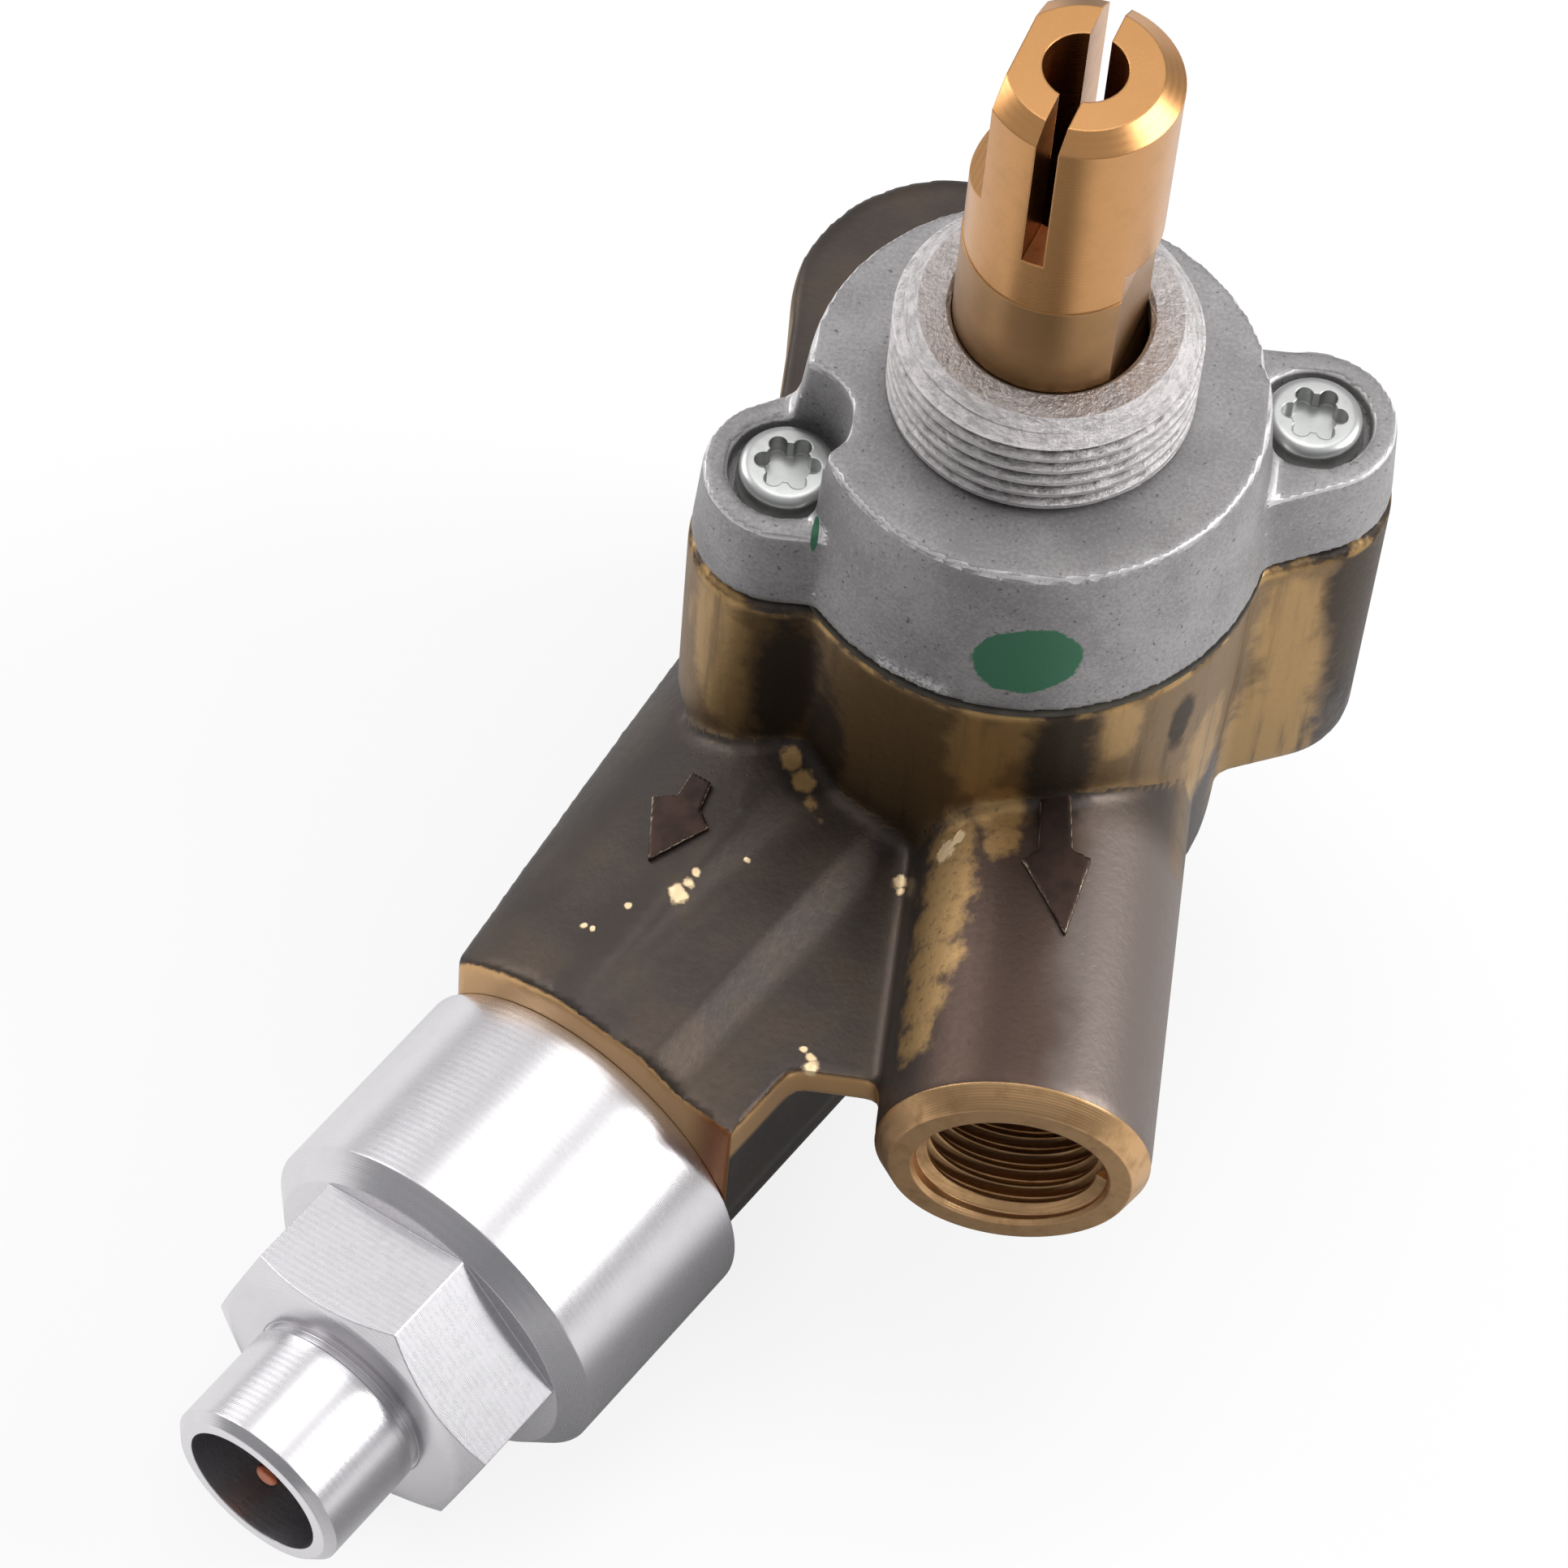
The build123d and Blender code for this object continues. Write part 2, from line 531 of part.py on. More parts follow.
def magnet_base():
    """Turned base of the magnet unit: cup, shoulder and the connector's nose with its socket."""
    shoulder = HEX_END - NUT_LIP - SEAT
    groove_r = NOSE_TUBE_R - NOSE_GROOVE
    groove_end = HEX_END + NOSE_GROOVE_W
    base = turned([(0, CUP_END), (BASE_R, CUP_END), (BASE_R, shoulder), (NOSE_TUBE_R, shoulder),
                   (NOSE_TUBE_R, HEX_END), (groove_r, HEX_END), (groove_r, groove_end),
                   (NOSE_TUBE_R, groove_end), (NOSE_TUBE_R, NOSE_END - NOSE_CHAMFER),
                   (NOSE_TUBE_R - NOSE_CHAMFER, NOSE_END), (0, NOSE_END)], ARM)
    base -= rod(ARM, BASE_R - CUP_WALL, CUP_END, CUP_FLOOR)
    base -= rod(ARM, SOCKET_R, SOCKET_FLOOR, NOSE_END)
    return base - rod(ARM, INSULATOR_R + SEAT, CUP_FLOOR, SOCKET_FLOOR)


def magnet_can():
    """Drawn can round the core, with a hole for the spindle."""
    can = rod(ARM, CAN_R, CAN_FRONT, CUP_FLOOR) - rod(ARM, CAN_R - CAN_WALL, CAN_FRONT + CAN_WALL, CUP_FLOOR)
    return can - rod(ARM, SPINDLE_R + RUN, CAN_FRONT, CAN_FRONT + CAN_WALL)


def contact_insulator():
    """Moulded sleeve and disc that keep the contact pin off the base."""
    face = SOCKET_FLOOR + INSULATOR_HEAD_T
    sleeve = rod(ARM, INSULATOR_R, CUP_FLOOR, SOCKET_FLOOR) + rod(ARM, SOCKET_R - SEAT, SOCKET_FLOOR, face)
    return sleeve - rod(ARM, PIN_R + SEAT, CUP_FLOOR, face)


def contact_pin():
    """Copper contact in the middle of the socket."""
    pin = rod(ARM, PIN_R, CUP_FLOOR, PIN_TIP)
    return fillet(pin.edges().sort_by(Axis(ARM_ORIGIN, ARM_DIR))[-1], PIN_ROUND)


def magnet_core():
    """U-shaped iron core with its two pole faces toward the armature."""
    legs = [rod(ARM * Pos(s * CORE_LEG_PITCH, 0, 0), CORE_LEG_R, CORE_TIP, CORE_YOKE) for s in (-1, 1)]
    yoke = Box(2 * (CORE_LEG_PITCH + CORE_LEG_R), 2 * CORE_LEG_R, CUP_FLOOR - CORE_YOKE,
               align=(Align.CENTER, Align.CENTER, Align.MIN))
    return legs[0] + legs[1] + ARM * Pos(0, 0, CORE_YOKE) * yoke


def magnet_coil():
    """Heavy copper winding on one leg of the core."""
    wind = Circle(COIL_R) - Circle(CORE_LEG_R + SEAT)
    return ARM * Pos(CORE_LEG_PITCH, 0, CORE_YOKE - COIL_L - SEAT) * extrude(wind, COIL_L)


def valve_spindle():
    """Spindle of the magnet valve, from the lever's nose to the armature."""
    start = NOSE_A + NOSE_R + LEVER_GAP
    return rod(ARM, SPINDLE_R, start, CORE_TIP - VALVE_TRAVEL - LOOSE - ARMATURE_T)


def armature():
    """Soft-iron keeper that the energised core holds."""
    back = CORE_TIP - VALVE_TRAVEL - LOOSE
    return rod(ARM, ARMATURE_R, back - ARMATURE_T, back)


def valve_disc():
    """Rubber-faced disc that closes the gas way."""
    return rod(ARM, DISC_R, SEAT_A + SEAT, SEAT_A + DISC_T) - rod(ARM, SPINDLE_R, SEAT_A, SEAT_A + DISC_T)


def valve_spring():
    """Spring that shuts the magnet valve when the flame fails."""
    low = SEAT_A + DISC_T + SEAT
    return coil(VALVE_SPRING_R, VALVE_WIRE_R, low, CAN_FRONT - SEAT, VALVE_SPRING_TURNS, ARM)


PIECES = {
    "valve_body": valve_body,
    "bonnet_cover": bonnet_cover,
    "cover_gasket": cover_gasket,
    "cover_screw_left": lambda: cover_screw(SCREW_L),
    "cover_screw_right": lambda: cover_screw(SCREW_R),
    "stem": stem,
    "stem_o_ring": stem_o_ring,
    "bypass_screw": bypass_screw,
    "push_rod": push_rod,
    "stem_return_spring": stem_return_spring,
    "taper_plug": taper_plug,
    "rocker_lever": rocker_lever,
    "lever_pivot_pin": lever_pivot_pin,
    "magnet_nut": magnet_nut,
    "magnet_seal": magnet_seal,
    "magnet_base": magnet_base,
    "magnet_can": magnet_can,
    "contact_insulator": contact_insulator,
    "contact_pin": contact_pin,
    "magnet_core": magnet_core,
    "magnet_coil": magnet_coil,
    "armature": armature,
    "valve_spindle": valve_spindle,
    "valve_disc": valve_disc,
    "valve_spring": valve_spring,
}

if __name__ == "__main__":
    os.makedirs("parts", exist_ok=True)
    for name, make in PIECES.items():
        solid = make()
        solid.label = name
        export_step(solid, f"parts/{name}.step")
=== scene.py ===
"""Looks of an angled gas valve: a forged brass body, a cast cover, a turned stem and a bright magnet nut."""

import logging
import math
from dataclasses import dataclass, field
from enum import Enum
from typing import Any, Callable, Iterable, Optional, Union

import bpy
from mathutils import Matrix, Vector

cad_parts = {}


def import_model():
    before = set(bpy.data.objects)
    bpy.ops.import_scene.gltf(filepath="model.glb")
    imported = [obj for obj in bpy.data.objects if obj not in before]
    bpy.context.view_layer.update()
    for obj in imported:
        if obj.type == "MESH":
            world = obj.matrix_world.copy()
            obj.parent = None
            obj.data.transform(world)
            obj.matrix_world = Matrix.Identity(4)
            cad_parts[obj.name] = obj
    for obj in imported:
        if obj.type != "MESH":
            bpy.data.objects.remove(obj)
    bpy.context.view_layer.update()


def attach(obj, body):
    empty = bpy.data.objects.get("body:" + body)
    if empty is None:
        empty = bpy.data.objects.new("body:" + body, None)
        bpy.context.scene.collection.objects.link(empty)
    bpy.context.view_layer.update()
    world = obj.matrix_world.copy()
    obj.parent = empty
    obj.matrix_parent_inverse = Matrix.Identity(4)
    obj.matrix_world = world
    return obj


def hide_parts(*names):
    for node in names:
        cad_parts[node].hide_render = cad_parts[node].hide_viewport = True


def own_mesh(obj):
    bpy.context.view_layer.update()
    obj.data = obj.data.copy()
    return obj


LOG = logging.getLogger("gas_valve")
MM = 0.001
MERGE = 0.002 * MM
ACROSS, FRONT, UP = (1.0, 0.0, 0.0), (0.0, -1.0, 0.0), (0.0, 0.0, 1.0)
Colour = tuple[float, float, float]
Point = tuple[float, float]
Span = tuple[float, float]
Spot = tuple[float, float, float, float]
Number = Union[float, "Wire"]


class Body(Enum):
    """Rigid bodies that a piece can ride on."""

    HOUSING = "housing"
    STEM = "control_stem"
    PLUG = "plug"
    LEVER = "lever"
    VALVE = "magnet_valve"


class Cut(Enum):
    """Ways that one closed mesh works on another."""

    AWAY = "DIFFERENCE"
    SHARED = "INTERSECT"


def srgb(red: int, green: int, blue: int) -> Colour:
    """Turn a colour as seen on a screen into the linear values that shaders use.

    Args:
        red: Red from 0 to 255.
        green: Green from 0 to 255.
        blue: Blue from 0 to 255.

    Returns:
        The linear colour.
    """
    parts = [c / 255 for c in (red, green, blue)]
    linear = [c / 12.92 if c <= 0.04045 else ((c + 0.055) / 1.055) ** 2.4 for c in parts]
    return linear[0], linear[1], linear[2]


class Wire:
    """One value in a material, with arithmetic that adds Math nodes."""

    def __init__(self, graph: "Graph", socket: bpy.types.NodeSocket) -> None:
        """Hold a socket and the graph that it is in."""
        self.graph = graph
        self.socket = socket

    def _math(self, operation: str, *others: Number, swap: bool = False) -> "Wire":
        """Add a Math node on this value and others.

        Args:
            operation: The node's operation.
            *others: Further values, in order.
            swap: Whether the values go in the other way round.

        Returns:
            The result.
        """
        values: list[Number] = [self, *others]
        if swap:
            values.reverse()
        return self.graph.node("ShaderNodeMath", {"operation": operation}, dict(enumerate(values)))

    def __add__(self, other: Number) -> "Wire":
        """Sum of two values."""
        return self._math("ADD", other)

    __radd__ = __add__

    def __sub__(self, other: Number) -> "Wire":
        """This value less another."""
        return self._math("SUBTRACT", other)

    def __rsub__(self, other: Number) -> "Wire":
        """Another value less this one."""
        return self._math("SUBTRACT", other, swap=True)

    def __mul__(self, other: Number) -> "Wire":
        """Product of two values."""
        return self._math("MULTIPLY", other)

    __rmul__ = __mul__

    def __truediv__(self, other: Number) -> "Wire":
        """This value over another."""
        return self._math("DIVIDE", other)

    def __abs__(self) -> "Wire":
        """Size of this value without its sign."""
        return self._math("ABSOLUTE")

    def sine(self) -> "Wire":
        """Sine of this value in radians."""
        return self._math("SINE")

    def root(self) -> "Wire":
        """Square root of this value."""
        return self._math("SQRT")

    def most(self, other: Number) -> "Wire":
        """Larger of two values."""
        return self._math("MAXIMUM", other)

    def ease(self, low: float, high: float) -> "Wire":
        """Smooth step of this value from 0 at low to 1 at high."""
        inputs = {"Value": self, "From Min": low, "From Max": high, "To Min": 0.0, "To Max": 1.0}
        return self.graph.node("ShaderNodeMapRange", {"interpolation_type": "SMOOTHSTEP"}, inputs)


class Graph:
    """Nodes of one material or of the world, ending in one shader."""

    def __init__(self, owner: Union[bpy.types.Material, bpy.types.World]) -> None:
        """Start with an empty node tree.

        Args:
            owner: The new material or world that the nodes are for.
        """
        self.owner = owner
        owner.use_nodes = True
        self.tree = owner.node_tree
        self.tree.nodes.clear()
        self._place: Optional[Wire] = None

    @classmethod
    def of_finish(cls, name: str) -> "Graph":
        """Start the nodes of a new material."""
        return cls(bpy.data.materials.new(name))

    def node(self, kind: str, settings: dict[str, Any], inputs: dict[Union[str, int], Any],
             out: Union[str, int] = 0) -> Wire:
        """Add one node.

        Args:
            kind: The node's type.
            settings: Properties of the node, set first.
            inputs: Values or wires by socket name or number.
            out: The output to return.

        Returns:
            The wire from that output.
        """
        made = self.tree.nodes.new(kind)
        for key, value in settings.items():
            if key == "stops":
                self.stops(made.color_ramp, value)
            else:
                setattr(made, key, value)
        for key, value in inputs.items():
            socket = made.inputs[key]
            if isinstance(value, Wire):
                self.tree.links.new(value.socket, socket)
            elif socket.type == "RGBA":
                socket.default_value = (*value[:3], 1.0)
            else:
                socket.default_value = value
        return Wire(self, made.outputs[out])

    @staticmethod
    def stops(ramp: bpy.types.ColorRamp, stops: list[tuple[float, Colour]]) -> None:
        """Set the stops of a colour ramp.

        Args:
            ramp: The ramp.
            stops: Place from 0 to 1 and colour of each stop.
        """
        while len(ramp.elements) < len(stops):
            ramp.elements.new(0.5)
        for element, (place, colour) in zip(ramp.elements, stops):
            element.position = place
            element.color = (*colour, 1.0)

    @property
    def place(self) -> Wire:
        """Object coordinates in millimetres.

        Returns:
            The wire, made once for each graph.
        """
        if self._place is None:
            raw = self.node("ShaderNodeTexCoord", {}, {}, "Object")
            self._place = self.node("ShaderNodeVectorMath", {"operation": "SCALE"}, {0: raw, "Scale": 1 / MM})
        return self._place

    def vector(self, operation: str, first: Wire, second: Iterable[float], out: Union[str, int] = 0) -> Wire:
        """Add a Vector Math node on a wire and a fixed vector."""
        return self.node("ShaderNodeVectorMath", {"operation": operation}, {0: first, 1: tuple(second)}, out)

    def along(self, direction: Iterable[float], origin: Iterable[float] = (0, 0, 0)) -> Wire:
        """Distance in millimetres along a direction from a point."""
        return self.vector("DOT_PRODUCT", self.vector("SUBTRACT", self.place, origin), direction, "Value")

    def noise(self, scale: float, detail: float = 4, stretch: Colour = (1, 1, 1),
              rough: float = 0.55) -> Wire:
        """Cloudy noise from 0 to 1.

        Args:
            scale: Clouds per millimetre.
            detail: How many finer layers it has.
            stretch: Scale along X, Y and Z.
            rough: How strong the finer layers are.

        Returns:
            The noise.
        """
        spot = self.node("ShaderNodeMapping", {}, {"Vector": self.place, "Scale": stretch})
        inputs = {"Vector": spot, "Scale": scale, "Detail": detail, "Roughness": rough}
        return self.node("ShaderNodeTexNoise", {}, inputs)

    def cells(self, scale: float) -> Wire:
        """Distance to the nearest of scattered points, for pits and grains."""
        return self.node("ShaderNodeTexVoronoi", {}, {"Vector": self.place, "Scale": scale}, "Distance")

    def facing(self, direction: Iterable[float]) -> Wire:
        """How far the surface faces a direction, from -1 to 1."""
        normal = self.node("ShaderNodeNewGeometry", {}, {}, "True Normal")
        return self.vector("DOT_PRODUCT", normal, direction, "Value")

    def tilted(self, direction: Iterable[float], low: float, high: float) -> Wire:
        """Mask of rounded edges, which face a direction only in part."""
        face = self.facing(direction)
        return face.ease(low - 0.1, low + 0.1) * (1 - face.ease(high - 0.08, high + 0.08))

    def radius(self) -> Wire:
        """Distance in millimetres from the stem's axis."""
        x, y = self.along(ACROSS), self.along(FRONT)
        return (x * x + y * y).root()

    def mix(self, mask: Number, first: Union[Colour, Wire], second: Union[Colour, Wire]) -> Wire:
        """Blend two colours by a mask."""
        settings = {"data_type": "RGBA", "blend_type": "MIX"}
        return self.node("ShaderNodeMix", settings, {0: mask, 6: first, 7: second}, 2)

    def bump(self, height: Wire, depth: float, strength: float = 1.0, normal: Optional[Wire] = None) -> Wire:
        """Bump from a height.

        Args:
            height: Height from 0 to 1.
            depth: Depth in millimetres.
            strength: Share of the bump that is used.
            normal: The normal that it starts from.

        Returns:
            The bumped normal.
        """
        inputs = {"Height": height, "Strength": strength, "Distance": depth * MM}
        if normal is not None:
            inputs["Normal"] = normal
        return self.node("ShaderNodeBump", {}, inputs)

    def rounded(self, radius: float) -> Wire:
        """Normal that rounds sharp edges by a radius in millimetres."""
        return self.node("ShaderNodeBevel", {"samples": 6}, {"Radius": radius * MM})

    def finish(self, **sockets: Any) -> bpy.types.Material:
        """Close the graph with its shader.

        Args:
            **sockets: Shader sockets by name, with underscores for spaces.

        Returns:
            The finished material.
        """
        inputs = {key.replace("_", " "): value for key, value in sockets.items()}
        self.show(self.node("ShaderNodeBsdfPrincipled", {}, inputs))
        return self.owner

    def show(self, shader: Wire, output: str = "ShaderNodeOutputMaterial") -> None:
        """Link a shader to an output node."""
        shown = self.tree.nodes.new(output)
        self.tree.links.new(shader.socket, shown.inputs["Surface"])


@dataclass(frozen=True)
class Lines:
    """Axes that the finishes and pieces share, in millimetres."""

    arm_angle: float = 30.8
    arm_offset: float = -3.0
    arm_z: float = -37.5

    @property
    def arm_dir(self) -> Vector:
        """Way that the magnet arm points."""
        turn = math.radians(self.arm_angle)
        return Vector((-math.sin(turn), -math.cos(turn), 0))

    @property
    def arm_side(self) -> Vector:
        """Level way across the magnet arm, toward the outlet."""
        turn = math.radians(self.arm_angle)
        return Vector((math.cos(turn), -math.sin(turn), 0))

    @property
    def arm_origin(self) -> Vector:
        """Point on the magnet's axis beside the stem's axis."""
        return self.arm_side * self.arm_offset + Vector((0, 0, self.arm_z))

    def arm_frame(self, along: float = 0.0) -> Matrix:
        """Frame on the magnet's axis, in metres.

        Args:
            along: Place along the arm in millimetres.

        Returns:
            The frame, its Z along the arm.
        """
        spot = (self.arm_origin + self.arm_dir * along) * MM
        turn = Matrix((self.arm_side, UP, self.arm_dir)).transposed().to_4x4()
        return Matrix.Translation(spot) @ turn


LINES = Lines()


@dataclass(frozen=True)
class ForgedBrass:
    """Hot-forged brass: a dark skin, golden zones of rubbed wear and of painted reflection, painted shade, a
    painted lit side on the outlet, sheared faces and bright chips.
    """

    name: str = "forged_brass"
    skin: Colour = srgb(70, 64, 61)
    brown: Colour = srgb(82, 72, 64)
    # Dark tone of the painted shade and dark reflections on the barrel and bosses.
    shade_tone: Colour = srgb(48, 43, 40)
    # Painted lit tone of the outlet arm's right half; the next colour is its painted shaded left half.
    outlet: Colour = srgb(122, 111, 105)
    outlet_shade: Colour = srgb(84, 68, 60)
    # Brassier tone of the barrel's upright walls: partly worn brass, partly painted golden reflection.
    barrel: Colour = srgb(132, 106, 72)
    # Tone of the painted golden reflections and highlight band, and of rubbed wear on scuffs and the rim.
    gold: Colour = srgb(182, 148, 98)
    bare: Colour = srgb(206, 164, 114)
    red: Colour = srgb(150, 96, 56)
    chip: Colour = srgb(240, 214, 172)
    outlet_y: Span = (11, 14)
    outlet_x: Span = (-3.2, -0.5)
    # Across the outlet, where the painted shade turns to painted light.
    outlet_lit: Span = (3.6, 6.2)
    wall_z: Span = (-27, -22)
    wall_y: Span = (12.9, 13.6)
    rim_z: Span = (-11.9, -11.4)
    arm_end: Span = (32.2, 32.32)
    web_y: Span = (25.4, 26.2)
    web_low: Span = (-28.8, -28.2)
    web_high: Span = (-26.3, -26.0)
    web_x: Span = (-3.2, -2.6)
    strip_along: Span = (23.5, 25)
    strip_across: Span = (8.4, 9.0)
    strip_low: Span = (8.6, 9.2)
    strip_high: Span = (10.9, 11.3)
    red_across: Span = (6.6, 8.6)
    # Gold patches on the barrel and bosses: painted golden reflections, broken into vertical streaks.
    gold_reflections: tuple[Spot, ...] = (
        (-15.2, -7.5, -15.5, 2.6), (-14.6, -8.0, -19.0, 2.0), (-0.8, -12.9, -15.0, 2.0),
        (1.2, -12.8, -12.5, 1.6), (6.6, -11.2, -13.5, 1.5), (14.8, -1.2, -16.5, 2.4),
        (15.6, -0.8, -21.5, 2.2), (14.6, -1.2, -27.8, 3.6), (11.0, -6.0, -22.0, 2.2))
    # Dark patches on the barrel and bosses: painted shade and dark reflections.
    painted_darks: tuple[Spot, ...] = (
        (-11.2, -8.6, -17.5, 2.5), (-9.4, -9.6, -21.5, 2.2), (3.6, -12.5, -15.5, 2.4),
        (9.7, -8.6, -16.0, 1.0), (18.8, 2.2, -19.0, 3.4), (18.0, 0.6, -14.0, 2.2))
    # A band along the outlet's upper left, painted gold as a highlight.
    flank: tuple[Spot, ...] = (
        (-1.4, -14.6, -21.3, 2.1), (-1.5, -17.0, -21.5, 2.3), (-1.6, -19.4, -21.7, 2.4),
        (-1.7, -21.8, -21.8, 2.3), (-1.8, -24.2, -22.0, 2.0), (-1.9, -26.5, -22.2, 1.6),
        (0.9, -13.4, -19.6, 1.9), (1.2, -15.0, -19.7, 1.3))
    chips: tuple[Spot, ...] = (
        (-15.4, -18.2, -24.1, 0.6), (-14.9, -17.5, -24.0, 0.42), (-14.6, -16.8, -24.0, 0.3),
        (-7.2, -26.6, -26.0, 0.5), (-7.3, -26.0, -25.9, 0.36), (-7.7, -25.6, -25.9, 0.26),
        (-3.8, -14.6, -25.9, 0.55), (-3.7, -15.2, -25.9, 0.36), (-1.7, -14.9, -21.6, 0.8),
        (-1.2, -14.4, -21.0, 0.5), (-17.9, -19.2, -24.4, 0.24), (-20.1, -20.5, -24.8, 0.26),
        (-19.6, -20.7, -24.7, 0.2), (-12.1, -15.3, -24.6, 0.22), (-26.3, -20.4, -30.0, 0.5))
    scuffs: tuple[Spot, ...] = (
        (-9.7, -10.3, -23.9, 0.8), (-10.5, -9.3, -23.4, 0.75), (-9.1, -11.3, -24.1, 0.6),
        (-8.6, -12.1, -24.4, 0.4))

    def material(self) -> bpy.types.Material:
        """Build the finish.

        Returns:
            The material.
        """
        g = Graph.of_finish(self.name)
        broad = g.noise(0.14, 3)
        grain = g.noise(2.4, 6)
        # Vertical streaks that break up the barrel's painted reflections.
        streaks = g.noise(0.75, 5, (1.0, 1.0, 0.09))
        colour = g.mix(broad.ease(0.38, 0.66), self.skin, self.brown)
        outlet = g.along(FRONT).ease(*self.outlet_y) * g.along(ACROSS).ease(*self.outlet_x)
        # Painted light and shade: the outlet arm's right half takes the lit tone, its left half the shaded
        # tone.
        lit = (g.along(ACROSS) + (broad - 0.5) * 5).ease(*self.outlet_lit)
        colour = g.mix(outlet * 0.9, colour, g.mix(lit, self.outlet_shade, self.outlet))
        # Upright walls take the brassier tone: partly worn brass, partly painted golden reflection.
        upright = 1 - abs(g.facing(UP)).ease(0.3, 0.6)
        wall = g.along(UP).ease(*self.wall_z) * upright * (1 - g.along(FRONT).ease(*self.wall_y))
        colour = g.mix(wall * 0.9, colour, self.barrel)
        coarse = (g.noise(0.8, 5) - 0.5) * 0.9
        # Painted shade and dark reflections: the patches below and dark vertical streaks on the walls.
        painted_darks = self._near(g, self.painted_darks, 0.3, coarse).most(wall * streaks.ease(0.54, 0.76) * 0.6)
        # Painted golden reflections on the barrel and bosses, and a painted highlight band on the outlet's
        # upper left.
        gold_reflections = self._near(g, self.gold_reflections, 0.4, coarse) * streaks.ease(0.26, 0.5)
        gold_reflections = gold_reflections.most(self._near(g, self.flank, 1.0, coarse * 1.5) * grain.ease(0.15, 0.48))
        colour = g.mix(gold_reflections * 0.8, colour, self.gold)
        colour = g.mix(painted_darks * 0.85, colour, self.shade_tone)
        rim = g.along(UP).ease(*self.rim_z) * g.noise(0.35, 4).ease(0.5, 0.6)
        sheared, reddish = self._sheared(g)
        colour = g.mix(sheared, colour, g.mix(reddish, self.bare, self.red))
        ragged = (g.noise(1.7, 5) - 0.5) * 1.5
        scuffs = self._near(g, self.scuffs, 1.0, ragged * 0.7).most(rim)
        colour = g.mix(scuffs * 0.85, colour, self.gold)
        chips = self._near(g, self.chips, 1.0, ragged)
        colour = g.mix(chips, colour, self.chip)
        rough = 0.37 + grain * 0.16 + painted_darks * 0.1 - sheared * 0.08
        pits = g.cells(1.6).ease(0.0, 0.14)
        bump = g.bump(grain * 0.7 + pits * 0.3 - chips * 0.6, 0.035, 0.8)
        return g.finish(Base_Color=colour, Metallic=0.86, Roughness=rough, Normal=bump)

    @staticmethod
    def _near(g: Graph, spots: Iterable[Spot], upright: float, warp: Wire) -> Wire:
        """Mask of ragged patches round points.

        Args:
            g: The material's graph.
            spots: Centre and reach of each patch in millimetres.
            upright: Weight of height, below 1 for patches that are taller than wide.
            warp: How far the patches' edges wander.

        Returns:
            The mask, 1 inside the patches.
        """
        mask: Optional[Wire] = None
        for x, y, z, reach in spots:
            offset = g.vector("MULTIPLY", g.vector("SUBTRACT", g.place, (x, y, z)), (1, 1, upright))
            gap = g.node("ShaderNodeVectorMath", {"operation": "LENGTH"}, {0: offset}, "Value")
            patch = 1 - (gap / reach + warp).ease(0.55, 1.05)
            mask = patch if mask is None else mask.most(patch)
        return mask

    def _sheared(self, g: Graph) -> tuple[Wire, Wire]:
        """Masks of the bare trimmed faces.

        Args:
            g: The material's graph.

        Returns:
            The mask of the trimmed web and arm end, and that of the arm end's reddish corner.
        """
        along = g.along(LINES.arm_dir, LINES.arm_origin)
        across = g.along(LINES.arm_side, LINES.arm_origin)
        height = g.along(UP, LINES.arm_origin)
        end = along.ease(*self.arm_end) * g.facing(LINES.arm_dir).ease(0.45, 0.8)
        web = g.along(FRONT).ease(*self.web_y) * g.along(UP).ease(*self.web_low)
        web = web * (1 - g.along(UP).ease(*self.web_high)) * (1 - g.along(ACROSS).ease(*self.web_x))
        strip = g.facing(LINES.arm_side).ease(0.6, 0.85) * along.ease(*self.strip_along)
        strip = strip * across.ease(*self.strip_across)
        strip = strip * height.ease(*self.strip_low) * (1 - height.ease(*self.strip_high))
        return end.most(web).most(strip * (1 - web)), across.ease(*self.red_across) * end


